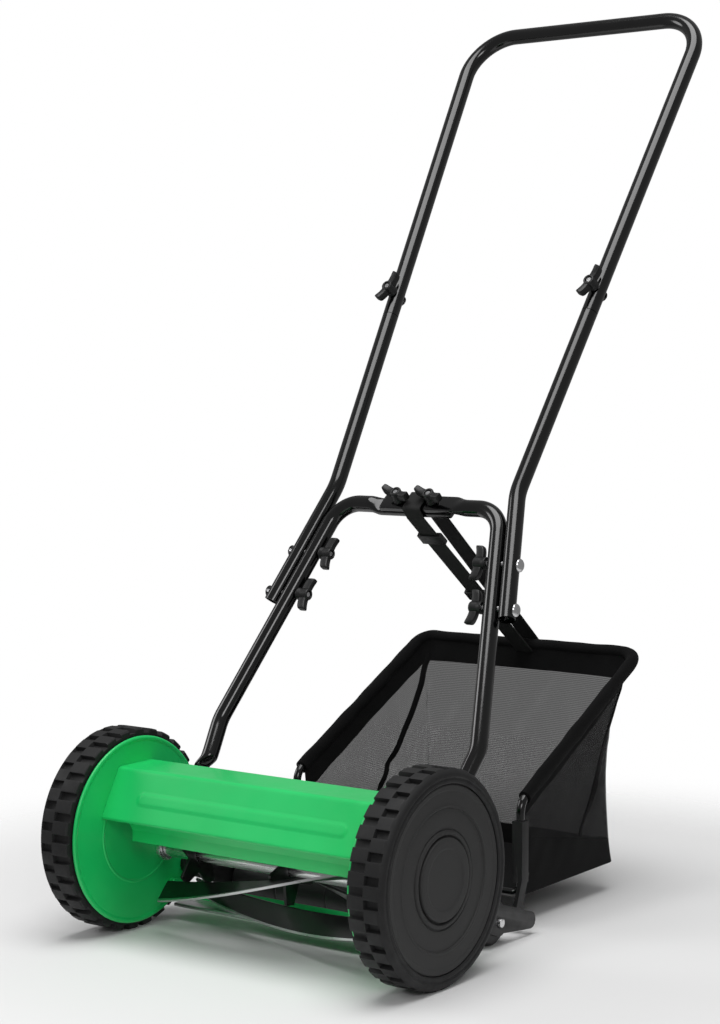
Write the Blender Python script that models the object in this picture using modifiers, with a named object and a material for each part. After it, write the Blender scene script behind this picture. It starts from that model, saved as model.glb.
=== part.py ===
"""Push reel mower with a grass catcher: wheels, geared reel, bolted handle and strap.

Metres, +Z up, +X along the axle to the right as seen from the front, -Y the way the mower is pushed. Shapes are drawn in a layout frame whose Y is zero at the axle. The layout empty
then shifts them so that the middle of the mower stands over the origin.
"""

import math

import bmesh
import bpy
from mathutils import Matrix, Vector

# Overall sizes
OVERALL_WIDTH = 0.381
WHEEL_RADIUS = 0.0928
PLATE_GAP = 0.305           # between the inner faces of the side plates
GAP = 0.0003                # between pieces that touch

# Wheels
TYRE_WIDTH = 0.0348
TYRE_BAND = 0.0128          # tread surface to tyre bore
TREAD_DEPTH = 0.0042
TREAD_LUGS = 30
SLOT_SHARE = 0.4            # part of each lug pitch that is slot
TYRE_CHAMFER = 0.0045
RIM_WALL = 0.003
GEAR_WALL = 0.006
GEAR_WIDTH = 0.012
HUB_WALL = 0.0065
CAP_RADIUS = 0.0355
CAP_THICKNESS = 0.0045
STUB_RADIUS = 0.006

# Side plates and deck, whose heights follow the axle
PLATE_THICKNESS = 0.0018
PLATE_RADIUS = 0.0862
PLATE_LIP = 0.001
SHEET = 0.0012
DECK_FRONT = (-0.0501, WHEEL_RADIUS + 0.0179)     # (y, z) of the front panel's lower edge
DECK_BEND = (-0.0268, WHEEL_RADIUS + 0.0617)
DECK_REAR = (0.0183, WHEEL_RADIUS + 0.0621)
STRIP_Y, STRIP_LOW, STRIP_HIGH, STRIP_HALF = -0.030, WHEEL_RADIUS - 0.0033, WHEEL_RADIUS + 0.0072, 0.133
BOSS_Y, BOSS_LIFT, BOSS_RADIUS, BOSS_DEPTH = 0.045, 0.0165, 0.008, 0.005    # a round boss by the cutter bar

# Reel
REEL_Y, REEL_Z = 0.035, WHEEL_RADIUS - 0.0228
REEL_RADIUS = 0.0555
REEL_LENGTH = 0.256
REEL_BLADES = 5
REEL_TWIST = math.radians(-76.6)    # along the blade's whole length
REEL_START = math.radians(29.3)     # the first blade's angle at its left end
BLADE_DEPTH = 0.022
BLADE_THICKNESS = 0.0026
SPIDER_THICKNESS = 0.003
SHAFT_RADIUS = 0.008
BEARING_WALL = 0.004
RING_TEETH, PINION_TEETH = 48, 12
KNIFE_DEPTH, KNIFE_THICKNESS = 0.024, 0.003
KNIFE_CLEARANCE = 0.0008

# Handle
TUBE_RADIUS = 0.008
TUBE_WALL = 0.0012
PIVOT = (0.072, WHEEL_RADIUS + 0.0312)             # (y, z) of the handle pivot on the side plates
LEG_BEND = (0.1482, 0.111, WHEEL_RADIUS + 0.0882)
CROSSBAR_Z = 0.3851
LEG_SLOPE = (-0.0299, 0.0645, 0.1106)
TUBE_SIDE_GAP = 0.0006
MID_END_Z = 0.290
MID_BEND_Z = 0.4006
UPPER_JOINT_Z = 0.5704
HANDLE_TOP = (0.1403, 0.5397, 0.8747)
SOCKET_DEPTH = 0.045
COLLAR_LENGTH = 0.010              # the solid shoulder where the mid tube narrows
TOP_RADIUS, CORNER_RADIUS, LEG_RADIUS, MID_RADIUS = 0.047, 0.030, 0.040, 0.060
FLAT_THICKNESS, FLAT_HEIGHT, FLAT_HALF = 0.006, 0.019, 0.040
FLAT_END = 0.012                   # how far each flat runs on into its own tube
FLAT_TILT = math.radians(48)       # the flats' front faces look up by this much
TAB_THICKNESS, TAB_LENGTH = 0.005, 0.026

# Bolts and wing knobs
BOLT_RADIUS, BOLT_HEAD, BOLT_HEAD_HEIGHT = 0.003, 0.0062, 0.0032
KNOB_RADIUS, KNOB_HEIGHT, KNOB_SPAN, KNOB_WING = 0.006, 0.013, 0.033, 0.007
CROSS_BOLT_X = 0.019
CROSS_KNOB_TURN, UPPER_KNOB_TURN, SIDE_KNOB_TURN = -0.3, 1.2, {-1: 1.0, 1: 2.0}
SIDE_BOLT_Z = (0.337, 0.2985)
UPPER_BOLT_DROP = -0.024           # along the upper tube from its end to the bolt

# Catcher, strap, roller
ROD_RADIUS = 0.004
CATCHER_HALF, CATCHER_FRONT, CATCHER_REAR = 0.131, 0.207, 0.424
CATCHER_LOW, CATCHER_FRONT_TOP, CATCHER_REAR_TOP = 0.033, 0.118, 0.233
ROD_CORNER = 0.018
BAG_WALL, BAG_FOOT, BAG_REAR_FOOT_Y, BAG_DROP = 0.0016, 0.0305, 0.396, 0.008
POST_WALL, POST_LOW, POST_HIGH = 0.0015, 0.044, 0.101
POST_SIZE = 2 * (ROD_RADIUS + POST_WALL)
HOOK = (0.194, 0.014)              # (y, z) of the pins that carry the catcher
HOOK_RADIUS = 0.003
STRAP_WIDTH, STRAP_THICKNESS = 0.020, 0.0016
STRAP_SLACK, STRAP_CORNER, STRAP_END_LOOP = 0.0012, 0.003, 0.008
ROLLER_Y, ROLLER_RADIUS = 0.142, 0.022
BRACKET_PIN = (0.066, WHEEL_RADIUS - 0.0428)
BRACKET_THICKNESS = 0.005
AXLE_ROD_RADIUS = 0.004

HANDLE_REACH = HANDLE_TOP[1] + TUBE_RADIUS
AXLE_Y = -(HANDLE_REACH - WHEEL_RADIUS) / 2
PLATE_IN = PLATE_GAP / 2
PLATE_OUT = PLATE_IN + PLATE_THICKNESS
TYRE_OUT = OVERALL_WIDTH / 2
TYRE_IN = TYRE_OUT - TYRE_WIDTH
SIDES = (("left", -1), ("right", 1))

COLOURS = {
    "green": ((0.016, 0.66, 0.162), 0.35, 0.0),
    "rubber": ((0.026, 0.026, 0.027), 0.62, 0.0),
    "plastic": ((0.018, 0.018, 0.019), 0.45, 0.0),
    "gloss_black": ((0.006, 0.006, 0.007), 0.18, 0.0),
    "steel": ((0.62, 0.62, 0.63), 0.28, 1.0),
    "fabric": ((0.02, 0.02, 0.021), 0.9, 0.0),
}


def clear_scene():
    for obj in list(bpy.data.objects):
        bpy.data.objects.remove(obj)


def make_material(name):
    colour, roughness, metallic = COLOURS[name]
    material = bpy.data.materials.new(name)
    material.use_nodes = True
    shader = material.node_tree.nodes["Principled BSDF"]
    shader.inputs["Base Color"].default_value = (*colour, 1)
    shader.inputs["Roughness"].default_value = roughness
    shader.inputs["Metallic"].default_value = metallic
    return material


clear_scene()
MATERIALS = {name: make_material(name) for name in COLOURS}
PARTS = bpy.data.collections.new("reel_mower")
CUTTERS = bpy.data.collections.new("cutters")
for each in (PARTS, CUTTERS):
    bpy.context.scene.collection.children.link(each)


def make_empty(name, at, parent=None):
    empty = bpy.data.objects.new(name, None)
    empty.location = at
    empty.parent = parent
    PARTS.objects.link(empty)
    return empty


LAYOUT = make_empty("layout", (0, AXLE_Y, 0))


# ---- Helpers -------------------------------------------------------------------------------------

def add_object(name, mesh, finish=None, collection=PARTS):
    obj = bpy.data.objects.new(name, mesh)
    collection.objects.link(obj)
    obj.parent = LAYOUT
    if finish:
        mesh.materials.clear()
        mesh.materials.append(MATERIALS[finish])
        mesh.shade_smooth()
        mesh.set_sharp_from_angle(angle=math.radians(35))
    return obj


def mesh_of(bm, matrix=Matrix()):
    bmesh.ops.transform(bm, matrix=matrix, verts=bm.verts)
    bmesh.ops.recalc_face_normals(bm, faces=bm.faces)
    mesh = bpy.data.meshes.new("shape")
    bm.to_mesh(mesh)
    bm.free()
    return mesh


def baked(obj):
    """The evaluated mesh of a helper object, which is then removed."""
    bpy.context.view_layer.update()
    graph = bpy.context.evaluated_depsgraph_get()
    mesh = bpy.data.meshes.new_from_object(obj.evaluated_get(graph))
    bpy.data.objects.remove(obj)
    return mesh


def along_x(x, y, z, side=1):
    """A frame at a point whose own +Z runs along +X, or along -X for side -1."""
    return Matrix.Translation((x, y, z)) @ Matrix.Rotation(side * math.pi / 2, 4, "Y")


def facing(at, direction):
    """A frame at a point whose own +Z runs along a direction."""
    return Matrix.Translation(at) @ Vector(direction).to_track_quat("Z", "Y").to_matrix().to_4x4()


def box(size, centre, turn=Matrix()):
    bm = bmesh.new()
    bmesh.ops.create_cube(bm, size=1)
    bmesh.ops.scale(bm, vec=size, verts=bm.verts)
    return mesh_of(bm, Matrix.Translation(centre) @ turn)


def rod(radius, length, matrix, segments=12):
    """A cylinder from the frame's origin along its +Z."""
    bm = bmesh.new()
    bmesh.ops.create_cone(bm, cap_ends=True, segments=segments, radius1=radius, radius2=radius, depth=length)
    return mesh_of(bm, matrix @ Matrix.Translation((0, 0, length / 2)))


def turned(profile, matrix, steps=24):
    """A profile of (radius, height) points turned about the frame's +Z."""
    mesh = bpy.data.meshes.new("profile")
    count = len(profile)
    edges = [(i, (i + 1) % count) for i in range(count)]
    mesh.from_pydata([(r, 0, z) for r, z in profile], edges, [])
    helper = add_object("profile", mesh)
    screw = helper.modifiers.new("Screw", "SCREW")
    screw.steps = screw.render_steps = steps
    screw.use_merge_vertices = True
    screw.merge_threshold = 0.00001
    helper.parent = None
    shape = baked(helper)
    bm = bmesh.new()
    bm.from_mesh(shape)
    bmesh.ops.remove_doubles(bm, verts=bm.verts, dist=0.00001)
    return mesh_of(bm, matrix)


def prism(outline, length, matrix):
    """A flat outline of (x, y) points raised by length along the frame's +Z."""
    bm = bmesh.new()
    face = bm.faces.new([bm.verts.new((x, y, 0)) for x, y in outline])
    raised = bmesh.ops.extrude_face_region(bm, geom=[face])["geom"]
    bmesh.ops.translate(bm, vec=(0, 0, length), verts=[v for v in raised if isinstance(v, bmesh.types.BMVert)])
    return mesh_of(bm, matrix)


def rounded_path(corners, radii, step=math.radians(20), closed=False):
    """The corners joined by straight runs, with an arc of the given radius at each inner corner."""
    points = []
    count = len(corners)
    for i, corner in enumerate(corners):
        here = Vector(corner)
        if not closed and i in (0, count - 1):
            points.append(here)
            continue
        to_last = (Vector(corners[i - 1]) - here).normalized()
        to_next = (Vector(corners[(i + 1) % count]) - here).normalized()
        half = to_last.angle(to_next) / 2
        reach = radii[i] / math.tan(half)
        middle = here + (to_last + to_next).normalized() * (radii[i] / math.sin(half))
        start = here + to_last * reach - middle
        turn_axis = start.cross(here + to_next * reach - middle).normalized()
        sweep = math.pi - 2 * half
        steps = max(2, math.ceil(sweep / step))
        for n in range(steps + 1):
            points.append(middle + Matrix.Rotation(sweep * n / steps, 3, turn_axis) @ start)
    return points


def tube(points, radius, wall=0.0, sides_setting=3, closed=False):
    """A round tube along the points: solid with filled caps, or hollow with open ends when it has a wall."""
    curve = bpy.data.curves.new("path", "CURVE")
    curve.dimensions = "3D"
    curve.bevel_depth = radius
    curve.bevel_resolution = sides_setting
    curve.use_fill_caps = not (wall or closed)
    spline = curve.splines.new("POLY")
    spline.points.add(len(points) - 1)
    for spot, point in zip(spline.points, points):
        spot.co = (*point, 1)
    spline.use_cyclic_u = closed
    helper = bpy.data.objects.new("path", curve)
    PARTS.objects.link(helper)
    mesh = baked(helper)
    bm = bmesh.new()
    bm.from_mesh(mesh)
    bmesh.ops.remove_doubles(bm, verts=bm.verts, dist=0.00001)
    bmesh.ops.recalc_face_normals(bm, faces=bm.faces)
    mesh = bpy.data.meshes.new("tube")
    bm.to_mesh(mesh)
    bm.free()
    if not wall:
        return mesh
    helper = add_object("tube", mesh)
    helper.parent = None
    shell = helper.modifiers.new("Solidify", "SOLIDIFY")
    shell.thickness = wall
    shell.offset = -1
    return baked(helper)


def sheet(outline, half_width, thickness):
    """A folded sheet: (y, z) points of its section, swept across X, with its thickness centred."""
    mesh = bpy.data.meshes.new("sheet")
    verts = [(side * half_width, y, z) for y, z in outline for side in (-1, 1)]
    faces = [(2 * i, 2 * i + 1, 2 * i + 3, 2 * i + 2) for i in range(len(outline) - 1)]
    mesh.from_pydata(verts, [], faces)
    return thickened(mesh, thickness)


def thickened(mesh, thickness):
    helper = add_object("sheet", mesh)
    helper.parent = None
    shell = helper.modifiers.new("Solidify", "SOLIDIFY")
    shell.thickness = thickness
    shell.offset = 0
    shell.use_even_offset = True
    return baked(helper)


def boolean(obj, operation, mesh):
    cutter = add_object(f"{obj.name}_{operation.lower()}", mesh, collection=CUTTERS)
    cutter.hide_render = True
    cutter.display_type = "WIRE"
    modifier = obj.modifiers.new(operation.title(), "BOOLEAN")
    modifier.operation = operation
    modifier.object = cutter
    return obj


def cut(obj, mesh):
    return boolean(obj, "DIFFERENCE", mesh)


def join(obj, mesh):
    return boolean(obj, "UNION", mesh)


def polar(radius, angle):
    return radius * math.cos(angle), radius * math.sin(angle)


# ---- Wheels --------------------------------------------------------------------------------------

AXLE_Z = WHEEL_RADIUS
BORE_RADIUS = WHEEL_RADIUS - TYRE_BAND
RIM_RADIUS = BORE_RADIUS - GAP
CENTRE_DISTANCE = math.hypot(REEL_Y, AXLE_Z - REEL_Z)
MODULE = 2 * CENTRE_DISTANCE / (RING_TEETH - PINION_TEETH)
RING_PITCH, PINION_PITCH = MODULE * RING_TEETH / 2, MODULE * PINION_TEETH / 2
RING_TIP, RING_ROOT = RING_PITCH - 0.55 * MODULE, RING_PITCH + 1.15 * MODULE
PINION_TIP, PINION_ROOT = PINION_PITCH + 0.85 * MODULE, PINION_PITCH - 0.9 * MODULE
BACKLASH = 0.0005
PRESSURE_ANGLE = math.radians(20)
GEAR_IN = TYRE_IN + 0.0023
WEB_IN = TYRE_OUT - CAP_THICKNESS - 0.006


def involute(angle):
    return math.tan(angle) - angle


def half_tooth(pitch, radius, thickness):
    """Half the angle that a tooth spans at a radius, for its thickness at the pitch circle."""
    base = pitch * math.cos(PRESSURE_ANGLE)
    at_radius = math.acos(min(1.0, base / radius))
    return thickness / (2 * pitch) + involute(PRESSURE_ANGLE) - involute(at_radius)


def gear_outline(teeth, pitch, inner, outer, thickness, phase):
    """Straight-sided teeth between two radii, the first of them centred on the phase angle."""
    points = []
    for tooth in range(teeth):
        middle = phase + 2 * math.pi * tooth / teeth
        low, high = (half_tooth(pitch, r, thickness) for r in (inner, outer))
        for radius, angle in ((inner, -low), (outer, -high), (outer, high), (inner, low)):
            points.append(polar(radius, middle + angle))
    return points


def make_tyre(side_name, side):
    """A tread band with two staggered rows of lugs."""
    chamfer = TYRE_CHAMFER
    profile = [
        (WHEEL_RADIUS - chamfer * 0.6, TYRE_OUT), (WHEEL_RADIUS, TYRE_OUT - chamfer),
        (WHEEL_RADIUS, TYRE_IN + chamfer * 0.4), (WHEEL_RADIUS - chamfer * 0.4, TYRE_IN),
        (BORE_RADIUS, TYRE_IN), (BORE_RADIUS, TYRE_OUT),
    ]
    frame = along_x(0, 0, AXLE_Z, side)
    tyre = add_object(f"tyre_{side_name}", turned(profile, frame, 2 * TREAD_LUGS), "rubber")
    slots = bmesh.new()
    pitch = 2 * math.pi / TREAD_LUGS
    width = SLOT_SHARE * pitch * WHEEL_RADIUS
    middle = (TYRE_IN + TYRE_OUT) / 2
    rows = ((TYRE_IN - 0.002, middle - 0.0006, 0.0), (middle + 0.0006, TYRE_OUT - 0.0035, 0.5))
    for low, high, shift in rows:
        for lug in range(TREAD_LUGS):
            cube = bmesh.ops.create_cube(slots, size=1)["verts"]
            bmesh.ops.scale(slots, vec=(2 * TREAD_DEPTH, width, high - low), verts=cube)
            bmesh.ops.translate(slots, vec=(WHEEL_RADIUS, 0, (low + high) / 2), verts=cube)
            turn = Matrix.Rotation((lug + shift) * pitch, 3, "Z")
            bmesh.ops.rotate(slots, cent=(0, 0, 0), matrix=turn, verts=cube)
    return cut(tyre, mesh_of(slots, frame))


def make_rim(side_name, side):
    """The wheel body: face, drum, hub and the internal gear that drives the reel."""
    hub_in = TYRE_IN + 0.0008
    bore = STUB_RADIUS + GAP
    hub = bore + HUB_WALL
    face = TYRE_OUT - 0.0015
    seat = TYRE_OUT - CAP_THICKNESS
    profile = [
        (RIM_RADIUS, face), (RIM_RADIUS, GEAR_IN), (RIM_RADIUS - RIM_WALL, GEAR_IN),
        (RIM_RADIUS - RIM_WALL, WEB_IN), (RING_ROOT + GEAR_WALL, WEB_IN), (RING_ROOT + GEAR_WALL, GEAR_IN),
        (RING_TIP, GEAR_IN), (RING_TIP, WEB_IN), (hub - HUB_WALL / 2, WEB_IN),
        (hub - HUB_WALL / 2, seat - 0.001), (CAP_RADIUS + GAP, seat - 0.001), (CAP_RADIUS + GAP, face),
    ]
    frame = along_x(0, 0, AXLE_Z, side)
    rim = add_object(f"wheel_{side_name}", turned(profile, frame, 32), "plastic")
    space = math.pi * MODULE / 2 + BACKLASH / 2
    outline = gear_outline(RING_TEETH, RING_PITCH, RING_TIP - 0.0008, RING_ROOT, space, mesh_angle(side))
    teeth = prism(outline, GEAR_WIDTH + 0.001, along_x(0, 0, AXLE_Z, side) @ Matrix.Translation((0, 0, GEAR_IN - 0.001)))
    cut(rim, teeth)
    sleeve = [(hub, seat - 0.0015), (hub, hub_in), (bore, hub_in), (bore, seat - 0.0015)]
    return join(rim, turned(sleeve, frame, 24))


def mesh_angle(side):
    """The direction from the axle to the reel, as an angle in the frame that along_x gives."""
    return math.atan2(REEL_Y, side * (AXLE_Z - REEL_Z))


def make_hub_cap(side_name, side):
    """A shallow raised cap pressed into the wheel's face over the end of the stub axle."""
    low, high = TYRE_OUT - CAP_THICKNESS, TYRE_OUT - 0.0002
    profile = [
        (CAP_RADIUS, low), (0, low), (0, high - 0.001), (CAP_RADIUS - 0.008, high - 0.001),
        (CAP_RADIUS - 0.006, high), (CAP_RADIUS - 0.0015, high), (CAP_RADIUS, high - 0.0015),
    ][::-1]
    cap = turned(profile, along_x(0, 0, AXLE_Z, side), 32)
    return add_object(f"hub_cap_{side_name}", cap, "plastic")


def make_axle_stub(side_name, side):
    """The fixed stub that the wheel turns on, with a collar between the wheel and the side plate."""
    start, end = PLATE_OUT + GAP, TYRE_OUT - CAP_THICKNESS - 0.0014
    stub = rod(STUB_RADIUS, end - start, along_x(side * start, 0, AXLE_Z, side), 16)
    return add_object(f"axle_stub_{side_name}", stub, "steel")


# ---- Side plates and deck ------------------------------------------------------------------------

def make_side_plate(side_name, side):
    """A round plate with a rolled lip, a reel bearing hole, and studs for the handle and the bracket."""
    lip = 0.0025
    profile = [
        (PLATE_RADIUS - lip, PLATE_IN - PLATE_LIP), (PLATE_RADIUS, PLATE_IN + 0.0005), (PLATE_RADIUS, PLATE_OUT),
        (0, PLATE_OUT), (0, PLATE_IN), (PLATE_RADIUS - 2 * lip, PLATE_IN),
    ]
    plate = add_object(
        f"side_plate_{side_name}", turned(profile, along_x(0, 0, AXLE_Z, side), 48), "green")
    hole = BEARING_WALL + SHAFT_RADIUS + 3 * GAP
    cut(plate, rod(hole, 0.02, along_x(side * (PLATE_IN - 0.01), REEL_Y, REEL_Z, side), 24))
    boss_z = REEL_Z - REEL_RADIUS + BOSS_LIFT
    join(plate, rod(BOSS_RADIUS, BOSS_DEPTH + 0.001, along_x(side * (PLATE_IN + 0.001), BOSS_Y, boss_z, -side), 20))
    for (y, z), length in ((PIVOT, TAB_THICKNESS + PLATE_LIP + 0.002), (BRACKET_PIN, BRACKET_THICKNESS + PLATE_LIP + 0.0015)):
        stud = rod(BOLT_RADIUS, length + 0.001, along_x(side * (PLATE_IN + 0.001), y, z, -side), 12)
        join(plate, stud)
    return plate


def make_deck():
    half = PLATE_IN - GAP
    lip = (DECK_FRONT[0] + 0.007, DECK_FRONT[1] - 0.0005)
    rear_lip = (DECK_REAR[0], DECK_REAR[1] - 0.008)
    cover = sheet([lip, DECK_FRONT, DECK_BEND, DECK_REAR, rear_lip], half, SHEET)
    add_object("deck_cover", cover, "green")
    panel = Vector(DECK_BEND) - Vector(DECK_FRONT)
    inward = Vector((panel.y, -panel.x)).normalized() * (SHEET + 2 * GAP)
    shares = (Vector(DECK_FRONT) + panel * share + inward for share in (0.25, 0.6))
    strip = [(STRIP_Y, STRIP_LOW), (STRIP_Y, STRIP_HIGH), *(tuple(point) for point in shares)]
    add_object("front_tie_strip", sheet(strip, STRIP_HALF, SHEET), "green")


def make_cutter_bar():
    """The folded bar under the reel and the steel knife that it holds against the blades."""
    knife_y = REEL_Y + 0.012
    reach = REEL_RADIUS + KNIFE_CLEARANCE
    knife_top = REEL_Z - math.sqrt(reach ** 2 - 0.012 ** 2)
    middle = (0, knife_y + KNIFE_DEPTH / 2, knife_top - KNIFE_THICKNESS / 2)
    inside_rims = math.hypot(knife_y, AXLE_Z - knife_top) < PLATE_RADIUS
    half = PLATE_IN - GAP - (PLATE_LIP if inside_rims else 0)
    add_object("bed_knife", box((2 * half, KNIFE_DEPTH, KNIFE_THICKNESS), middle), "steel")
    under = knife_top - KNIFE_THICKNESS - GAP - SHEET / 2
    section = [
        (knife_y + 0.004, under), (knife_y + KNIFE_DEPTH + 0.003, under),
        (knife_y + KNIFE_DEPTH + 0.013, under + 0.013),
    ]
    rear, top = section[-1]
    if top + SHEET > bracket_underside(rear):
        half = BRACKET_IN - GAP
    add_object("cutter_bar", sheet(section, half, SHEET), "green")


# ---- Reel ----------------------------------------------------------------------------------------

def make_reel():
    """The shaft, three spiders, five twisted blades and the two pinions inside the wheels."""
    shaft_end = GEAR_IN + GEAR_WIDTH - 0.001
    shaft = rod(SHAFT_RADIUS, 2 * shaft_end, along_x(-shaft_end, REEL_Y, REEL_Z), 16)
    add_object("reel_shaft", shaft, "steel")
    make_blades()
    for name, x in (("left", -1), ("centre", 0), ("right", 1)):
        make_spider(name, x * (REEL_LENGTH / 2 - 0.020))
    for side_name, side in SIDES:
        frame = along_x(0, REEL_Y, REEL_Z, side)
        bearing = [
            (SHAFT_RADIUS + BEARING_WALL, PLATE_IN - 0.004), (SHAFT_RADIUS + BEARING_WALL, PLATE_OUT + 0.0012),
            (SHAFT_RADIUS + GAP, PLATE_OUT + 0.0012), (SHAFT_RADIUS + GAP, PLATE_IN - 0.004),
        ]
        add_object(f"reel_bearing_{side_name}", turned(bearing[::-1], frame, 16), "steel")
        tooth = math.pi * MODULE / 2 - BACKLASH / 2
        outline = gear_outline(
            PINION_TEETH, PINION_PITCH, PINION_ROOT, PINION_TIP, tooth, mesh_angle(side))
        lift = Matrix.Translation((0, 0, GEAR_IN + 0.0005))
        pinion = add_object(f"pinion_{side_name}", prism(outline, GEAR_WIDTH - 0.001, frame @ lift), "steel")
        cut(pinion, rod(SHAFT_RADIUS + GAP, 0.03, along_x(side * (GEAR_IN - 0.01), REEL_Y, REEL_Z, side), 16))


def make_blades():
    inner = REEL_RADIUS - BLADE_DEPTH
    profile = bpy.data.meshes.new("blade")
    profile.from_pydata([(inner, 0, 0), (REEL_RADIUS, 0, 0)], [(0, 1)], [])
    helper = add_object("blade", profile)
    helper.parent = None
    screw = helper.modifiers.new("Screw", "SCREW")
    screw.angle = REEL_TWIST
    screw.screw_offset = REEL_LENGTH
    screw.steps = screw.render_steps = 20
    shell = helper.modifiers.new("Solidify", "SOLIDIFY")
    shell.thickness = BLADE_THICKNESS
    shell.offset = 0
    blade = baked(helper)
    blade.transform(Matrix.Translation((0, 0, -REEL_LENGTH / 2)))
    for number in range(REEL_BLADES):
        turn = Matrix.Rotation(REEL_START + 2 * math.pi * number / REEL_BLADES, 4, "Z")
        mesh = blade.copy()
        mesh.transform(along_x(0, REEL_Y, REEL_Z) @ turn)
        mesh.materials.clear()
        add_object(f"reel_blade_{number + 1}", mesh, "gloss_black")


def make_spider(name, x):
    """A star whose arms end just under the blades, turned to meet them where it stands."""
    arm = REEL_RADIUS - BLADE_DEPTH - 2 * GAP
    middle = REEL_START + REEL_TWIST * (0.5 + x / REEL_LENGTH)
    outline = []
    for number in range(REEL_BLADES):
        angle = middle + 2 * math.pi * number / REEL_BLADES
        outline += [polar(arm, angle - 0.16), polar(arm, angle + 0.16)]
        outline.append(polar(SHAFT_RADIUS + 0.009, angle + math.pi / REEL_BLADES))
    frame = along_x(x - SPIDER_THICKNESS / 2, REEL_Y, REEL_Z)
    spider = add_object(f"reel_spider_{name}", prism(outline, SPIDER_THICKNESS, frame), "gloss_black")
    return cut(spider, rod(SHAFT_RADIUS + GAP, 0.01, along_x(x - 0.005, REEL_Y, REEL_Z), 16))


# ---- Handle --------------------------------------------------------------------------------------

SLOPE = Vector(LEG_SLOPE).normalized()
TUBE_OFFSET = (2 * TUBE_RADIUS + TUBE_SIDE_GAP) / math.sqrt(1 - SLOPE.x ** 2)


def leg_point(z, offset=0.0):
    """The point at a height on the right leg's straight line, or on one moved out by an offset."""
    return Vector(LEG_BEND) + SLOPE * ((z - LEG_BEND[2]) / SLOPE.z) + Vector((offset, 0, 0))


CROSSBAR_Y = leg_point(CROSSBAR_Z).y
CROSSBAR_SPOT = Vector((0, CROSSBAR_Y, CROSSBAR_Z))
CROSS_TURN = Matrix.Rotation(-FLAT_TILT, 4, "X")
CROSS_FRONT = CROSS_TURN @ Vector((0, -1, 0))
MID_BEND = leg_point(MID_BEND_Z, TUBE_OFFSET)
UPPER_LINE = (Vector(HANDLE_TOP) - MID_BEND).normalized()
UPPER_JOINT = MID_BEND + UPPER_LINE * ((UPPER_JOINT_Z - MID_BEND_Z) / UPPER_LINE.z)
UPPER_BOLT = UPPER_JOINT - UPPER_LINE * UPPER_BOLT_DROP
UPPER_FRONT = UPPER_LINE.cross(Vector((-1, 0, 0))).normalized()
SOCKET_RADIUS = TUBE_RADIUS - TUBE_WALL - GAP


def mirrored(points, side):
    return [Vector((side * p[0], p[1], p[2])) for p in points]


def make_upper_handle():
    legs = [UPPER_JOINT, Vector(HANDLE_TOP)]
    corners = mirrored(legs, -1) + legs[::-1]
    path = rounded_path(corners, [0, TOP_RADIUS, TOP_RADIUS, 0])
    handle = add_object("handle_upper", tube(path, TUBE_RADIUS, TUBE_WALL), "gloss_black")
    for _, side in SIDES:
        bolt_hole(handle, mirrored([UPPER_BOLT], side)[0], UPPER_FRONT, side)


def bolt_hole(obj, at, direction, side):
    direction = Vector((side * direction[0], direction[1], direction[2])).normalized()
    start = Vector(at) - direction * 0.02
    cut(obj, rod(BOLT_RADIUS + GAP, 0.04, facing(start, direction), 12))


def make_mid_tube(side_name, side):
    """A bent tube whose narrow upper end slips into the upper handle."""
    low = leg_point(MID_END_Z, TUBE_OFFSET)
    shoulder = UPPER_JOINT - UPPER_LINE * 0.0006
    path = rounded_path([low, MID_BEND, shoulder], [0, MID_RADIUS, 0])
    body = tube(mirrored(path, side), TUBE_RADIUS, TUBE_WALL)
    mid = add_object(f"handle_mid_{side_name}", body, "gloss_black")
    collar = mirrored([shoulder - UPPER_LINE * COLLAR_LENGTH, shoulder - UPPER_LINE * GAP], side)
    join(mid, tube(collar, TUBE_RADIUS - TUBE_WALL / 2))
    plug = mirrored([shoulder - UPPER_LINE * COLLAR_LENGTH / 2, UPPER_JOINT + UPPER_LINE * SOCKET_DEPTH], side)
    join(mid, tube(plug, SOCKET_RADIUS))
    bolt_hole(mid, mirrored([UPPER_BOLT], side)[0], UPPER_FRONT, side)
    for z in SIDE_BOLT_Z:
        bolt_hole(mid, mirrored([leg_point(z, TUBE_OFFSET)], side)[0], (1, 0, 0), side)
    return mid


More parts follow.
